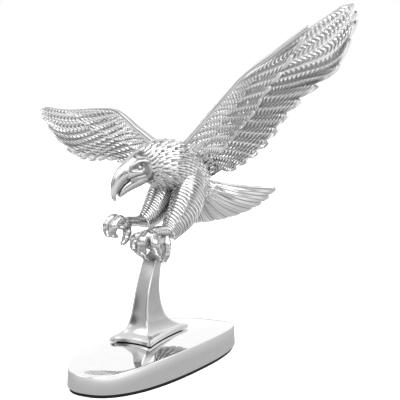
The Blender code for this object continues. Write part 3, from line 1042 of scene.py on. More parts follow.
@dataclass
class Pedestal:
    """Curved square post that flares into a thin-edged foot."""

    # height, centre y, half width in front, half width at the back, half length
    sections: tuple = (
        (9.6, -2.6, 7.9, 5.9, 14.6),
        (11.6, -2.6, 7.9, 5.9, 14.6),
        (12.1, -2.6, 7.8, 5.8, 14.4),
        (12.7, -2.7, 7.3, 5.45, 13.6),
        (13.6, -3.4, 5.5, 4.7, 11.0),
        (15.5, -4.5, 4.2, 3.8, 8.2),
        (18.3, -5.3, 3.3, 3.2, 6.2),
        (22.3, -5.8, 2.8, 2.8, 4.8),
        (26.8, -5.5, 2.6, 2.6, 3.7),
        (31.3, -4.4, 2.6, 2.6, 2.9),
        (35.8, -2.6, 2.6, 2.6, 2.3),
        (39.3, -0.8, 2.2, 2.2, 1.9),
        (42.3, 0.5, 1.5, 1.5, 1.5),
        (45.7, 1.9, 1.2, 1.2, 1.2),
    )
    centres: tuple = (0.0,) * 11 + (1.0, 2.2, 3.4)
    corner: float = 0.025
    lip: float = 1.05
    gap: float = 0.3
    # up to the shoulder is the foot's edge; the post's plain flats begin this far above it
    shoulder: float = 12.8
    blend: float = 5.0

    def outline(self, half_x: tuple[float, float], half_y: float, hollow: float) -> np.ndarray:
        """One level outline with pointed corners and slightly hollow sides.

        Args:
            half_x: half width at the back and in front.
            half_y: half length.
            hollow: how much each side draws in, as a share.

        Returns:
            (x, y) rows.
        """
        points = []
        corners = [(1, 1), (-1, 1), (-1, -1), (1, -1)]
        # the corners are rounded over by about a third of a millimetre
        stops = np.concatenate([[0.0], np.linspace(0.05, 0.95, 13)])
        for (ax, ay), (bx, by) in zip(corners, corners[1:] + corners[:1]):
            for t in stops:
                sx, sy = ax + (bx - ax) * t, ay + (by - ay) * t
                width = half_x[0] + (half_x[1] - half_x[0]) * (1 - sy) / 2
                draw = 1 - hollow * (1 - (2 * t - 1) ** 2)
                if ax == bx:
                    sx *= draw
                else:
                    sy *= draw
                tuck = 1 - self.corner if t == 0 else 1.0
                points.append((sx * width * tuck, sy * half_y * tuck))
        return np.array(points)

    def build(self, plate: BasePlate, finish: bpy.types.Material) -> bpy.types.Object:
        """Makes the post.

        Args:
            plate: the base plate its foot fits.
            finish: the brushed chrome.

        Returns:
            The post.
        """
        table = np.column_stack([np.array(self.sections), self.centres])
        low, high = table[:4], smooth_curve(table[3:], np.linspace(0, 1, 60)[1:])
        rings, brushed_and_shaded = [], []
        # the corners and the top of the foot are buffed smoother than the flats of the post, and
        # painted lighter: a painted highlight on the edges and the foot against painted shade on
        # the flats
        flats = np.tile([0.0, 0.3] + [1.0] * 11 + [0.3], 4)
        for height, centre_y, front, rear, half, centre_x in np.vstack([low, high]):
            brushed_and_shaded.append(flats * np.clip((height - self.shoulder) / self.blend, 0.0, 1.0))
            hollow = 0.1
            if height >= self.shoulder:
                hollow = 0.06 * max(0.0, 1 - (height - self.shoulder) / 8) + 0.03
            ring = self.outline((rear, front), half, hollow) + (centre_x, centre_y)
            # the two lowest rings follow the dome: the foot's underside and the top of its lip
            if height < 10:
                height = plate.top(ring) + self.gap
            elif height < 12:
                height = plate.top(ring) + self.gap + self.lip
            rings.append(at_height(ring, height))
        draft = Draft()
        draft.add_rings(np.array(rings), np.array(brushed_and_shaded))
        made = draft.build("post_casting", finish, 30.0)
        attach(made, BODY)
        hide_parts("pedestal")
        return made


def rib_skin(ribs: tuple, turn: float, bow_turn: float) -> VaneSkin:
    """Makes a vane's skin.

    Args:
        ribs: leading edge, trailing edge and bow of each rib.
        turn: which way its normals point, 1 or -1.
        bow_turn: which way it bows, 1 or -1.

    Returns:
        The skin.
    """
    lead, trail, bow = (np.array([rib[k] for rib in ribs], float) for k in range(3))
    return VaneSkin(lead, trail, bow, turn, bow_turn)


@dataclass
class Wing:
    """One wing: flight feathers through the casting, coverts on both faces, and a rounded edge.

    Turn is 1 for the left wing and -1 for the right. The edge is where the bar along the leading
    edge starts and ends and its radius at each, alula is how far back from the leading edge the
    bar ends, and core is half the web's thickness."""

    name: str
    node: str
    ribs: tuple
    turn: float
    rows: tuple[Row, ...]
    edge: tuple[float, float, float, float]
    alula: float = 0.02
    core: float = 0.5

    def build(self, bed: FeatherBed, finish: bpy.types.Material) -> bpy.types.Object:
        """Makes the wing.

        Args:
            bed: the Geometry Nodes for feathers.
            finish: the relief chrome.

        Returns:
            The wing.
        """
        skin = rib_skin(self.ribs, self.turn, self.turn)
        draft = Draft()
        self.add_core(skin, draft)
        for row in self.rows:
            row.lay(bed, skin, draft)
        start, end, thick, thin = self.edge
        u = np.linspace(start, end, 12)
        back = np.interp(u, [start, 0.6 * end, end], [0.02, 0.02, self.alula])
        line = skin.place(u, back, np.zeros(12))
        radius = np.interp(u, [start, end], [thick, thin])
        # the bar along the leading edge gets painted shade and a softer finish
        draft.add_limb(np.column_stack([line, radius, radius]).tolist(), 60, 16, groove=0.5)
        made = draft.build(self.name, finish)
        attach(made, BODY)
        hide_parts(self.node)
        return made

    def add_core(self, skin: VaneSkin, draft: Draft) -> None:
        """Adds the thin web that the feathers share.

        Args:
            skin: the wing's surface.
            draft: the mesh it joins.
        """
        u = np.linspace(0.0, 0.95, 60)
        reach = np.interp(u, [0.0, 0.1, 0.9, 0.95], [0.55, 0.88, 0.88, 0.8])
        v = np.concatenate([np.linspace(0.0, 1.0, 16), np.linspace(1.0, 0.0, 16)])
        side = np.repeat([self.core, -self.core], 16)
        ring = skin.place(u[:, None], reach[:, None] * v[None, :], np.broadcast_to(side, (60, 32)))
        # the web between the feathers gets painted shade and a softer finish
        draft.add_rings(ring, 0.6)


# leading edge, trailing edge and bow of each rib, from the root to the tip
LEFT_RIBS = (
    ((4.0, 11.0, 73.8), (8.5, 31.0, 61.3), 2.0),
    ((13.0, 15.5, 85.3), (17.0, 33.0, 66.8), 2.4),
    ((19.0, 17.0, 92.3), (27.0, 30.5, 74.3), 2.4),
    ((25.0, 17.5, 98.3), (35.0, 27.5, 83.3), 2.2),
    ((34.0, 19.5, 104.3), (44.0, 25.0, 91.3), 1.8),
    ((46.0, 20.0, 112.3), (54.0, 25.5, 99.3), 1.2),
    ((57.0, 25.0, 120.8), (60.0, 26.0, 112.8), 0.4),
)
RIGHT_RIBS = (
    ((-4.0, 7.5, 74.3), (-8.5, 24.0, 61.8), 2.0),
    ((-13.0, 10.5, 78.8), (-20.0, 18.0, 65.3), 2.4),
    ((-20.0, 13.0, 82.8), (-29.0, 16.5, 66.8), 2.4),
    ((-26.5, 16.0, 84.5), (-37.0, 17.0, 66.3), 2.2),
    ((-39.0, 20.5, 83.9), (-46.0, 20.0, 67.5), 1.8),
    ((-52.0, 25.0, 82.8), (-56.0, 25.0, 71.8), 1.2),
    ((-65.0, 29.0, 83.3), (-64.5, 29.5, 77.8), 0.4),
)
# root, tip and bow of each ray, from the bird's right to its left
TAIL_RAYS = (
    ((-2.5, 26.0, 58.3), (-23.0, 42.0, 42.3), 1.0),
    ((-1.5, 26.5, 58.9), (-12.0, 48.0, 41.3), 2.0),
    ((0.3, 27.0, 59.5), (2.0, 50.5, 44.3), 2.4),
    ((2.0, 26.5, 60.1), (14.5, 49.0, 49.8), 2.0),
    ((3.0, 26.0, 60.7), (24.0, 44.5, 57.1), 1.0),
)


def wing_rows(pitch: float) -> tuple[Row, ...]:
    """The rows of feathers on a wing.

    Args:
        pitch: 1 for the wing with the finest barbs; more sets them further apart.

    Returns:
        Flight feathers, then coverts on both faces.
    """
    rows = [
        Row(
            feathers=8,
            roots=((0.0, 0.62), (0.02, 0.45), (0.10, 0.36), (0.26, 0.34), (0.42, 0.3)),
            tips=((0.05, 1.0), (0.20, 1.02), (0.36, 1.02), (0.54, 1.02), (0.76, 1.02)),
            barbs=round(15 / pitch),
            lift=(0.5, 0.85),
            crown=0.16,
            ridge=0.7,
            overlap=1.1,
            rounding=0.17,
            through=True,
            rim=0.07,
        ),
        Row(
            feathers=5,
            roots=((0.42, 0.3), (0.46, 0.22), (0.5, 0.15), (0.52, 0.08), (0.55, 0.0)),
            tips=((0.76, 0.99), (0.91, 1.0), (1.015, 0.9), (1.03, 0.5), (1.02, 0.0)),
            barbs=round(24 / pitch),
            lift=(0.5, 0.8),
            crown=0.18,
            ridge=0.6,
            overlap=1.15,
            rounding=0.1,
            through=True,
            rim=0.05,
        ),
    ]
    for face in Face:
        rows += [
            Row(
                feathers=9,
                roots=((-0.02, 0.3), (0.06, 0.14), (0.16, 0.05), (0.34, 0.02), (0.5, 0.0)),
                tips=((0.08, 0.66), (0.26, 0.58), (0.44, 0.53), (0.64, 0.38), (0.84, 0.0)),
                barbs=round(15 / pitch),
                lift=(0.6, 1.25),
                rounding=0.09,
                face=face,
            ),
            Row(
                feathers=10,
                roots=((-0.02, 0.06), (0.1, 0.0), (0.24, 0.0), (0.38, 0.0)),
                tips=((0.06, 0.34), (0.2, 0.26), (0.36, 0.22), (0.52, 0.14)),
                barbs=round(7 / pitch),
                lift=(0.5, 1.35),
                rounding=0.12,
                face=face,
                across=6,
            ),
            Row(
                feathers=11,
                roots=((-0.06, 0.9), (-0.06, 0.5), (-0.04, 0.05)),
                tips=((0.04, 0.88), (0.05, 0.5), (0.06, 0.1)),
                barbs=8,
                lift=(0.5, 1.2),
                rounding=0.2,
                face=face,
                across=6,
                grain=Grain.LONG,
                unruly=0.4,
            ),
        ]
    return tuple(rows)


@dataclass
class TailFan:
    """Fanned tail: long ribbed feathers with a row of coverts over their roots."""

    def build(self, bed: FeatherBed, finish: bpy.types.Material) -> bpy.types.Object:
        """Makes the tail.

        Args:
            bed: the Geometry Nodes for feathers.
            finish: the relief chrome.

        Returns:
            The tail.
        """
        skin = rib_skin(TAIL_RAYS, 1.0, -1.0)
        draft = Draft()
        stops = (0.0, 0.25, 0.5, 0.75, 1.0)
        Row(
            feathers=10,
            roots=tuple((u, 0.05) for u in stops),
            tips=tuple((u, 1.0) for u in stops),
            barbs=24,
            lift=(0.4, 0.5),
            crown=0.2,
            ridge=0.4,
            rim=0.04,
            grain=Grain.LONG,
            across=12,
            rounding=0.05,
            through=True,
        ).lay(bed, skin, draft)
        for face in Face:
            Row(
                feathers=8,
                roots=((0.0, 0.0), (0.5, 0.0), (1.0, 0.0)),
                tips=((0.0, 0.2), (0.5, 0.26), (1.0, 0.2)),
                barbs=10,
                lift=(0.6, 0.8),
                ridge=0.34,
                grain=Grain.LONG,
                across=12,
                face=face,
            ).lay(bed, skin, draft)
        made = draft.build("tail_casting", finish)
        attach(made, BODY)
        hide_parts("tail_fan")
        return made


# x, y, z, half width, half height, from the rump to the neck
TORSO = (
    (0.3, 31.0, 57.3, 2.2, 1.8),
    (0.3, 27.0, 59.5, 4.9, 4.2),
    (0.3, 23.0, 61.5, 6.4, 5.8),
    (0.2, 17.0, 64.1, 7.4, 7.2),
    (0.0, 11.0, 66.5, 7.8, 7.9),
    (0.0, 6.0, 67.9, 7.4, 7.6),
    (-0.5, 1.6, 68.6, 6.0, 6.8),
    (-1.6, -1.6, 68.4, 5.0, 6.0),
    (-2.6, -3.8, 67.6, 4.4, 5.4),
)


@dataclass
class Torso:
    """The bird's body and neck, covered in small overlapping feathers."""

    rows: int = 16
    feathers: int = 27
    reach: float = 0.1

    def build(self, bed: FeatherBed, finish: bpy.types.Material) -> bpy.types.Object:
        """Makes the torso.

        Args:
            bed: the Geometry Nodes for feathers.
            finish: the relief chrome.

        Returns:
            The torso.
        """
        skin = LimbSkin(np.array(TORSO))
        draft = Draft()
        u = np.linspace(0, 1, 60)
        ring = skin.middle(u[:, None], (np.arange(64) / 64)[None, :])
        # the core between the feathers is painted in full shade, and rough
        draft.add_rings(ring, 1.0)
        for k in range(self.rows):
            at = 0.96 - k * 0.96 / self.rows
            # every other row is shifted by half a feather
            turn = (k % 2) * 0.5 / self.feathers
            Row(
                feathers=self.feathers,
                roots=tuple((at, turn + part) for part in (0.0, 0.5, 1.0)),
                tips=tuple((at - self.reach, turn + part) for part in (0.0, 0.5, 1.0)),
                barbs=5,
                across=4,
                lift=(0.0, 0.7),
                crown=0.45,
                shaft=0.0,
                ridge=0.35,
                rounding=0.3,
                slant=0.0,
                overlap=0.98,
                face=Face.BACK,
                grain=Grain.LONG,
                unruly=0.9,
            ).lay(bed, skin, draft)
        made = draft.build("torso_casting", finish)
        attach(made, BODY)
        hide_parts("eagle_body")
        return made


@dataclass
class Head:
    """Smooth cap, heavy brow, hooked beak and lower jaw, turned to the bird's right."""

    origin: tuple[float, float, float] = (0.0, 1.0, 71.3)
    ahead: tuple[float, float, float] = (-0.454, -0.891, 0.0)
    # forwards, height, half width, half height
    skull: tuple = (
        (-4.0, -2.0, 5.0, 6.4),
        (-1.0, -2.2, 4.9, 6.2),
        (2.5, -2.5, 4.7, 5.8),
        (6.0, -3.3, 4.5, 5.4),
        (8.8, -4.5, 3.8, 4.9),
        (10.8, -5.6, 3.0, 4.1),
        (12.4, -6.4, 2.2, 3.0),
    )
    beak: tuple = (
        (10.4, -3.8, 2.6, 3.2),
        (12.6, -5.0, 2.4, 2.8),
        (14.6, -6.8, 2.0, 2.3),
        (16.0, -9.0, 1.5, 1.75),
        (16.6, -11.2, 1.1, 1.25),
        (16.6, -13.0, 0.8, 0.9),
        (16.0, -14.2, 0.4, 0.5),
    )
    jaw: tuple = (
        (5.5, -6.4, 3.4, 2.8),
        (8.4, -8.0, 2.9, 2.4),
        (11.1, -9.3, 2.2, 2.1),
        (13.1, -10.7, 1.7, 1.7),
        (14.2, -12.0, 1.2, 1.25),
        (14.6, -13.0, 0.6, 0.6),
    )
    # forwards, height, sideways, half width, half height
    brow: tuple = (
        (4.0, -2.2, 3.8, 0.5, 0.5),
        (6.0, -1.5, 3.9, 0.9, 0.7),
        (8.2, -1.3, 3.5, 1.0, 0.8),
        (10.2, -2.2, 2.8, 0.8, 0.7),
        (11.8, -3.6, 2.1, 0.4, 0.4),
    )
    # forwards, height, length, tallness, depth
    dents: tuple = (
        (8.3, -3.2, 1.4, 1.0, 1.3),
        (10.2, -3.9, 1.4, 0.7, 0.5),
        (6.6, -4.6, 1.0, 1.6, 0.4),
        (13.2, -5.2, 0.45, 0.35, 0.4),
        (3.6, -6.6, 0.7, 2.2, 0.3),
    )
    # forwards, height
    mouth: tuple = (
        (6.6, -6.0),
        (9.2, -6.4),
        (11.6, -7.3),
        (13.4, -8.6),
        (14.6, -9.9),
        (15.3, -11.3),
        (15.5, -12.8),
        (15.2, -13.8),
    )
    # the eyeball's place, and its sections of height and radius
    eye: tuple[float, float, float] = (8.5, -3.3, 3.0)
    ball: tuple = ((-0.6, 0.15), (-0.4, 0.5), (0.0, 0.65), (0.4, 0.5), (0.6, 0.15))
    grain: float = 0.2

    @property
    def left(self) -> tuple[float, float, float]:
        """The direction to the bird's left."""
        return (-self.ahead[1], self.ahead[0], 0.0)

    def at(self, along: float, height: float, side: float = 0.0) -> tuple[float, float, float]:
        """A point of the head: along is forwards, side is towards the bird's left."""
        place = self.origin + np.array(self.ahead) * along + np.array(self.left) * side
        return (float(place[0]), float(place[1]), float(place[2] + height))

    def limb(self, sections: tuple) -> list:
        """Sections from the head's own forwards, height, half width and half height."""
        return [(*self.at(a, h), wide, high) for a, h, wide, high in sections]

    def build(self, finish: bpy.types.Material) -> bpy.types.Object:
        """Makes the head.

        Args:
            finish: the buffed chrome.

        Returns:
            The head.
        """
        form = Draft()
        form.add_limb(self.limb(self.skull), 50, 40, self.left)
        form.add_limb(self.limb(self.beak), 40, 28, self.left)
        form.add_limb(self.limb(self.jaw), 30, 24, self.left)
        for hand in (1.0, -1.0):
            line = [(*self.at(a, h, out * hand), wide, high) for a, h, out, wide, high in self.brow]
            form.add_limb(line, 30, 16, self.left)
        skin = form.melted(self.grain)
        groove = self.chase(skin)
        draft = Draft()
        draft.add(skin.points, skin.faces, groove)
        forwards, height, out = self.eye
        for hand in (1.0, -1.0):
            x, y, z = self.at(forwards, height, out * hand)
            ball = [(x, y, z + rise, radius, radius) for rise, radius in self.ball]
            draft.add_limb(ball, 16, 16, self.left)
        made = draft.build("head_casting", finish, 70.0)
        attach(made, BODY)
        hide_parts("eagle_body")
        return made

    def chase(self, skin: Melt) -> np.ndarray:
        """Cuts the eye sockets, the mouth, the nostrils and the crown's fine lines.

        Args:
            skin: the head's skin, which is changed.

        Returns:
            How deep in a groove each point lies, which paints shade on it.
        """
        rel = skin.points - np.array(self.origin)
        along, height = rel @ np.array(self.ahead), rel[:, 2]
        out = np.abs(rel @ np.array(self.left))
        flank = np.clip((out - 0.6) / 1.2, 0, 1)
        # painted shade over the whole head, deeper in the hollows
        depth, groove = np.zeros(len(rel)), 0.45 + skin.hollows(0.01) * 0.6
        for a, h, wide, tall, deep in self.dents:
            spot = np.exp(-(((along - a) / wide) ** 2) - ((height - h) / tall) ** 2) * flank
            depth += deep * spot
            # painted shade in the sockets and the nostrils
            groove += 1.3 * spot
        # how far each point lies from the line of the mouth
        gap = np.full(len(rel), 9.0)
        for p, q in zip(self.mouth, self.mouth[1:]):
            step = np.subtract(q, p)
            on, up = along - p[0], height - p[1]
            t = np.clip((on * step[0] + up * step[1]) / (step @ step), 0, 1)
            gap = np.minimum(gap, np.hypot(on - t * step[0], up - t * step[1]))
        cut = np.exp(-((gap / 0.38) ** 2)) * np.clip(out / 0.4, 0, 1)
        depth += 0.6 * cut
        # painted shade along the mouth
        groove += 1.4 * cut
        crown = np.clip(height + 0.9, 0, 1) * np.clip((11.0 - along) / 1.5, 0, 1)
        crown = crown * np.clip(out / 1.2 - 0.5, 0, 1)
        # fine lines, three quarters of a millimetre apart
        lines = 0.5 + 0.5 * np.sin((height * 0.8 + out * 0.6 + 0.12 * along) * math.tau / 0.75)
        depth += 0.14 * crown * lines
        # the cap is painted darker, a band of painted shade
        groove += crown * (0.7 + 0.4 * lines)
        skin.points = skin.points - skin.normals * depth[:, None]
        return np.clip(groove, 0, 1)


# thigh, shank and palm: x, y, z, half width, half height; toes: x, y, z, radius, out to the claw
LEFT_THIGH = (
    (3.6, 17.5, 64.3, 3.4, 4.6),
    (5.2, 14.5, 60.8, 4.4, 6.4),
    (6.0, 11.2, 55.9, 4.6, 7.2),
    (5.8, 7.4, 51.1, 4.0, 6.0),
    (4.8, 3.6, 47.3, 3.1, 4.2),
    (4.2, 1.4, 45.1, 2.5, 2.9),
)
LEFT_SHANK = (
    (4.4, 2.4, 45.9, 2.2, 2.3),
    (3.8, -1.6, 46.3, 1.9, 1.9),
    (3.0, -5.6, 46.7, 2.0, 1.8),
    (2.4, -8.4, 45.9, 2.3, 1.9),
)
RIGHT_THIGH = (
    (-2.0, 16.0, 63.3, 3.2, 4.2),
    (-2.8, 12.5, 59.8, 4.3, 6.0),
    (-3.1, 8.6, 55.3, 4.4, 6.0),
    (-3.8, 4.6, 51.3, 3.8, 4.6),
    (-4.9, 0.8, 48.5, 2.5, 3.0),
)
RIGHT_SHANK = (
    (-5.4, 1.6, 48.9, 2.1, 2.4),
    (-5.8, -2.6, 49.1, 1.7, 1.8),
    (-6.6, -6.8, 49.7, 1.7, 1.6),
    (-7.2, -9.4, 49.5, 2.2, 1.9),
)
LEFT_PALM = (
    (2.6, -9.6, 45.2, 1.2, 1.0),
    (2.4, -8.2, 44.4, 3.2, 2.4),
    (2.4, -6.4, 43.6, 3.6, 3.0),
    (2.6, -4.4, 43.4, 3.2, 2.8),
    (2.8, -2.6, 43.6, 1.6, 1.4),
)
RIGHT_PALM = (
    (-6.6, -7.4, 49.3, 1.4, 1.2),
    (-7.0, -9.0, 49.0, 2.6, 1.8),
    (-7.4, -10.6, 49.2, 2.9, 1.9),
    (-7.8, -12.2, 49.4, 1.8, 1.2),
)
LEFT_TOES = (
    (
        (3.4, -8.2, 45.7, 1.5), (5.2, -9.6, 43.5, 1.4), (5.4, -8.2, 40.7, 1.3),
        (4.8, -6.0, 38.3, 0.9), (3.8, -4.6, 36.9, 0.5),
    ),
    (
        (2.2, -8.8, 46.1, 1.5), (1.8, -11.4, 44.5, 1.5), (1.4, -11.2, 41.5, 1.4),
        (1.0, -9.2, 38.9, 1.0), (0.8, -6.6, 37.3, 0.5),
    ),
    (
        (1.2, -8.0, 45.9, 1.5), (-2.0, -9.2, 44.9, 1.4), (-3.6, -8.4, 42.3, 1.3),
        (-3.4, -6.4, 39.7, 0.9), (-2.4, -5.0, 37.9, 0.5),
    ),
    (
        (4.0, -1.0, 44.9, 1.5), (5.4, -1.6, 42.3, 1.3), (5.6, -2.2, 39.5, 1.2),
        (4.8, -2.6, 37.1, 1.1), (4.0, -2.8, 35.9, 0.7),
    ),
)
RIGHT_TOES = (
    (
        (-6.0, -9.6, 49.7, 1.5), (-6.0, -12.8, 51.1, 1.4), (-6.4, -15.6, 49.7, 1.4),
        (-6.8, -15.8, 46.7, 1.1), (-6.6, -13.4, 45.3, 0.6),
    ),
    (
        (-7.4, -9.6, 49.9, 1.5), (-8.6, -12.4, 51.3, 1.4), (-9.8, -14.4, 49.3, 1.4),
        (-10.2, -13.8, 46.3, 1.1), (-9.4, -11.6, 45.3, 0.6),
    ),
    (
        (-7.8, -8.8, 49.5, 1.4), (-10.2, -10.2, 50.5, 1.3), (-12.0, -11.0, 48.3, 1.3),
        (-11.8, -10.6, 45.9, 1.0), (-10.6, -9.6, 45.1, 0.6),
    ),
    (
        (-6.0, -8.2, 48.5, 1.4), (-6.0, -8.4, 45.7, 1.4), (-6.2, -9.6, 43.5, 1.1),
        (-6.6, -11.2, 42.5, 0.6),
    ),
)


@dataclass
class Leg:
    """One leg: a trousered thigh, a bare shank and a foot of four ringed toes.

    Trim is how far the thigh is drawn in under its feathers, grain how fine the foot is drawn,
    scales how far apart the rings of the toes are, and claw the length that stays plain."""

    name: str
    node: str
    thigh: tuple
    shank: tuple
    palm: tuple
    toes: tuple
    trim: float = 0.15
    grain: float = 0.28
    scales: float = 1.15
    claw: float = 2.6

    def build(self, bed: FeatherBed, finish: bpy.types.Material) -> bpy.types.Object:
        """Makes the leg.

        Args:
            bed: the Geometry Nodes for feathers.
            finish: the relief chrome.

        Returns:
            The leg.
        """
        sections = np.array(self.thigh) - (0.0, 0.0, 0.0, self.trim, self.trim)
        skin = LimbSkin(sections)
        draft = Draft()
        draft.add_limb(sections.tolist(), 50, 40)
        # five bands of strands, each from where it starts round the thigh
        for start, reach in ((0.42, 0.3), (0.6, 0.28), (0.78, 0.28), (0.96, 0.3), (1.14, 0.28)):
            Row(
                feathers=22,
                roots=((0.06, start), (0.5, start), (0.96, start)),
                tips=((0.12, start + reach), (0.55, start + reach), (1.01, start + reach)),
                barbs=12,
                across=4,
                lift=(-0.05, 0.22),
                crown=0.14,
                shaft=0.0,
                ridge=0.2,
                slant=0.0,
                shingle=0.06,
                rounding=0.25,
                overlap=1.1,
                grain=Grain.LONG,
                face=Face.BACK,
                unruly=0.4,
            ).lay(bed, skin, draft)
        foot = Draft()
        foot.add_limb(list(self.shank), 40, 24)
        foot.add_limb(list(self.palm), 20, 20)
        for toe in self.toes:
            self.add_toe(toe, foot)
        cast = foot.melted(self.grain, 2)
        creases = self.knuckles(cast)
        draft.add(cast.points, cast.faces, creases)
        made = draft.build(self.name, finish)
        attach(made, BODY)
        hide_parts(self.node)
        return made

    def add_toe(self, toe: tuple, draft: Draft) -> None:
        """Adds one toe, swollen at its joints and thinning to its claw.

        Args:
            toe: (x, y, z, radius) from the foot to the claw's point.
            draft: the foot it joins.
        """
        line = np.array(toe, float)
        at = np.linspace(0, 1, 40)
        path = smooth_curve(line, at)
        radius = path[:, 3] * (1.08 + 0.07 * np.cos(at * math.tau * 3.5) * (at < 0.75))
        # the toe curls in one plane, and its rings are set square to that
        across = np.linalg.svd(line[:, :3] - line[:, :3].mean(0))[2][2]
        sections = np.column_stack([path[:, :3], radius, radius])
        draft.add_limb(sections.tolist(), 70, 16, tuple(across))

    def knuckles(self, skin: Melt) -> np.ndarray:
        """Paints shade on the toes and shank in rings, like the grooves between the scales of a
        bird's foot, and in the creases between the toes.

        Args:
            skin: the foot's skin.

        Returns:
            How deep in a groove each point lies, which paints shade on it.
        """
        crease = skin.hollows(0.012)
        scale = np.zeros(len(skin.points))
        closest = np.full(len(skin.points), 99.0)
        for line in (self.shank, *self.toes):
            path = smooth_curve(np.array(line, float)[:, :3], np.linspace(0, 1, 80))
            run = np.concatenate([[0.0], np.cumsum(np.linalg.norm(np.diff(path, axis=0), axis=1))])
            gap = np.linalg.norm(skin.points[:, None] - path[None], axis=2)
            near = gap.argmin(1)
            here = gap[np.arange(len(near)), near]
            ring = np.abs(np.sin(run[near] * math.pi / self.scales)) ** 0.6
            ring = np.where(run[near] < run[-1] - self.claw, ring, 1.0)
            scale = np.where(here < closest, ring, scale)
            closest = np.minimum(closest, here)
        # painted shade over the whole foot, between the scales and deepest in the creases
        between = np.clip(1.0 - scale, 0, 1) ** 1.5
        return np.clip(0.4 + 0.6 * between + 1.4 * crease, 0, 1)


# ---- stage -----------------------------------------------------------------------------------


@dataclass(frozen=True)
class Panel:
    """A soft-edged round panel of the surround.

    The ornament sees it under turn and rise; reach is its radius and edge the width of its soft
    edge, all in degrees. Level is its brightness."""

    turn: float
    rise: float
    reach: float
    edge: float
    level: float

    def add_to(
        self, tree: bpy.types.NodeTree, way: bpy.types.NodeSocket, below: bpy.types.NodeSocket
    ) -> bpy.types.NodeSocket:
        """Lays the panel over what is already there.

        Args:
            tree: the world's tree.
            way: the direction looked in.
            below: the brightness so far.

        Returns:
            The brightness with the panel.
        """
        turn, rise = math.radians(self.turn), math.radians(self.rise)
        aim = (math.cos(turn) * math.cos(rise), math.sin(turn) * math.cos(rise), math.sin(rise))
        near = add_node(
            tree, "ShaderNodeVectorMath", {"operation": "DOT_PRODUCT", 1: aim}, {0: way}
        )
        mask = add_node(
            tree,
            "ShaderNodeMapRange",
            {
                "interpolation_type": "SMOOTHSTEP",
                "From Min": math.cos(math.radians(self.reach + self.edge)),
                "From Max": math.cos(math.radians(self.reach)),
            },
            {"Value": near.outputs["Value"]},
        )
        laid = add_node(
            tree,
            "ShaderNodeMix",
            {"data_type": "FLOAT", 3: self.level},
            {0: mask.outputs[0], 2: below},
        )
        return laid.outputs[0]


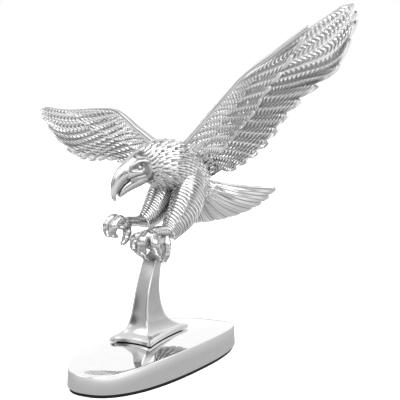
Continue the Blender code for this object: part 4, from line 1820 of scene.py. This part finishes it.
@dataclass
class Studio:
    """Pale floor, a room of soft panels and the camera.

    The camera stands at turn and rise, in degrees, at a distance in millimetres, and looks at
    aim: how far right of the middle, and how high."""

    turn: float = 28.4
    rise: float = 7.9
    distance: float = 440.0
    lens: float = 119.25
    aim: tuple[float, float] = (14.784, 56.3)
    panels: tuple[Panel, ...] = (
        Panel(118.0, 8.0, 34.0, 24.0, 1.1),
        Panel(-62.0, 58.0, 14.0, 20.0, 2.8),
        Panel(-150.0, 40.0, 8.0, 12.0, 2.0),
        Panel(-15.0, 40.0, 14.0, 18.0, 3.0),
        Panel(55.0, 52.0, 10.0, 18.0, 1.8),
        Panel(-95.0, 30.0, 5.0, 8.0, 2.4),
        Panel(-105.0, 14.0, 7.0, 9.0, 0.14),
        Panel(-36.0, 10.0, 6.0, 8.0, 0.16),
        Panel(16.0, 4.0, 10.0, 10.0, 0.22),
        Panel(-162.0, 2.0, 14.0, 12.0, 0.28),
        Panel(30.0, 84.0, 8.0, 12.0, 0.25),
    )

    def build(self) -> None:
        """Sets the stage."""
        scene = bpy.context.scene
        scene.view_settings.view_transform = "Standard"
        self.add_floor()
        self.add_world()
        turn, rise = math.radians(self.turn), math.radians(self.rise)
        level = math.cos(rise)
        back = Vector((math.sin(turn) * level, -math.cos(turn) * level, math.sin(rise)))
        right = Vector((math.cos(turn), math.sin(turn), 0))
        aim = right * self.aim[0] + Vector((0, 0, self.aim[1]))
        camera = bpy.data.objects.new("camera", bpy.data.cameras.new("camera"))
        scene.collection.objects.link(camera)
        camera.location = (aim + back * self.distance) * MM
        camera.rotation_euler = back.to_track_quat("Z", "Y").to_euler()
        camera.data.lens = self.lens
        camera.data.clip_start = 0.01
        scene.camera = camera

    def add_floor(self) -> None:
        """Adds a wide plain floor: white to the eye, mid grey where the chrome mirrors it."""
        reach = 2.5
        mesh = bpy.data.meshes.new("floor")
        corners = [(-reach, -reach, 0), (reach, -reach, 0), (reach, reach, 0), (-reach, reach, 0)]
        mesh.from_pydata(corners, [], [(0, 1, 2, 3)])
        made = bpy.data.objects.new("floor", mesh)
        bpy.context.scene.collection.objects.link(made)
        finish = bpy.data.materials.new("white_sweep")
        finish.use_nodes = True
        tree = finish.node_tree
        tree.nodes.clear()
        lit = add_node(tree, "ShaderNodeBsdfDiffuse", {"Color": tone("f4f4f4")})
        glow = add_node(tree, "ShaderNodeEmission", {"Color": tone("ffffff"), "Strength": 0.62})
        pale = add_node(tree, "ShaderNodeAddShader", links={0: lit.outputs[0], 1: glow.outputs[0]})
        place = add_node(tree, "ShaderNodeTexCoord")
        far = add_node(
            tree, "ShaderNodeVectorMath", {"operation": "LENGTH"}, {0: place.outputs["Object"]}
        )
        fade = add_node(
            tree,
            "ShaderNodeMapRange",
            {"From Min": 0.05, "From Max": 0.22, "To Min": 0.5, "To Max": 1.1},
            {"Value": far.outputs["Value"]},
        )
        mirrored = add_node(
            tree, "ShaderNodeEmission", {"Color": tone("ffffff")}, {"Strength": fade.outputs[0]}
        )
        path = add_node(tree, "ShaderNodeLightPath")
        mix = add_node(
            tree,
            "ShaderNodeMixShader",
            links={0: path.outputs["Is Camera Ray"], 1: mirrored.outputs[0], 2: pale.outputs[0]},
        )
        add_node(tree, "ShaderNodeOutputMaterial", links={"Surface": mix.outputs[0]})
        mesh.materials.append(finish)

    def add_world(self) -> None:
        """A grey room with white and black panels round it for the chrome to mirror."""
        world = bpy.data.worlds.new("studio")
        bpy.context.scene.world = world
        world.use_nodes = True
        tree = world.node_tree
        tree.nodes.clear()
        place = add_node(tree, "ShaderNodeTexCoord")
        split = add_node(tree, "ShaderNodeSeparateXYZ", links={0: place.outputs["Generated"]})
        height = add_node(
            tree,
            "ShaderNodeMapRange",
            {"From Min": -0.3, "From Max": 1.0, "To Min": 0.72, "To Max": 0.98},
            {"Value": split.outputs["Z"]},
        )
        level = height.outputs[0]
        for panel in self.panels:
            level = panel.add_to(tree, place.outputs["Generated"], level)
        white = {"Color": tone("ffffff")}
        shade = add_node(tree, "ShaderNodeBackground", white, {"Strength": level})
        plain = add_node(tree, "ShaderNodeBackground", {**white, "Strength": 1.0})
        path = add_node(tree, "ShaderNodeLightPath")
        mix = add_node(
            tree,
            "ShaderNodeMixShader",
            links={0: path.outputs["Is Camera Ray"], 1: shade.outputs[0], 2: plain.outputs[0]},
        )
        add_node(tree, "ShaderNodeOutputWorld", links={"Surface": mix.outputs[0]})


STEEL_NODES = (
    "front_screw",
    "rear_screw",
    "front_washer",
    "rear_washer",
    "post_pin",
    "left_wing_pin",
    "right_wing_pin",
    "left_leg_dowel",
    "right_leg_dowel",
)


def dress_fixed_nodes(frame: dict, finishes: Finishes) -> None:
    """Gives the frame's own solids their finishes; of these only the steel ones stay to be seen.

    Args:
        frame: the loaded frame.
        finishes: the ornament's finishes.
    """
    for name, node in frame["nodes"].items():
        finish = finishes.steel if name in STEEL_NODES else finishes.mirror
        if name == "mounting_pad":
            finish = finishes.foam
        node.data.materials.clear()
        node.data.materials.append(finish)


def main() -> None:
    """Builds the ornament on its frame, piece by piece."""
    logging.basicConfig(level=logging.INFO, format="%(message)s")
    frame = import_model()
    finishes = Finishes.make()
    bed = FeatherBed(finishes.relief)
    dress_fixed_nodes(frame, finishes)
    plate = BasePlate()
    left_wing = Wing(
        "left_wing_casting",
        "left_wing",
        LEFT_RIBS,
        turn=1.0,
        rows=wing_rows(pitch=1.0),
        edge=(0.0, 0.84, 1.0, 0.95),
        alula=-0.05,
    )
    right_wing = Wing(
        "right_wing_casting",
        "right_wing",
        RIGHT_RIBS,
        turn=-1.0,
        rows=wing_rows(pitch=1.25),
        edge=(0.0, 0.98, 1.3, 0.6),
    )
    left_leg = Leg(
        "left_leg_casting", "left_leg", LEFT_THIGH, LEFT_SHANK, LEFT_PALM, LEFT_TOES, trim=-0.25
    )
    right_leg = Leg(
        "right_leg_casting", "right_leg", RIGHT_THIGH, RIGHT_SHANK, RIGHT_PALM, RIGHT_TOES
    )
    pieces = [
        MountingPad().build(plate, finishes.foam),
        plate.build(finishes.mirror),
        Pedestal().build(plate, finishes.post),
        left_wing.build(bed, finishes.relief),
        right_wing.build(bed, finishes.relief),
        TailFan().build(bed, finishes.relief),
        Torso().build(bed, finishes.relief),
        Head().build(finishes.relief),
        left_leg.build(bed, finishes.relief),
        right_leg.build(bed, finishes.relief),
    ]
    for piece in pieces:
        piece.data.calc_loop_triangles()
        LOG.info("%s: %d triangles", piece.name, len(piece.data.loop_triangles))
    Studio().build()
    save_size()


def save_size() -> None:
    """Writes the frame's box and the finished model's box side by side.
    """
    def plain(box: tuple) -> list:
        """Lists a box's two corners as plain numbers."""
        return [[float(value) for value in corner] for corner in box]


if __name__ == "__main__":
    main()
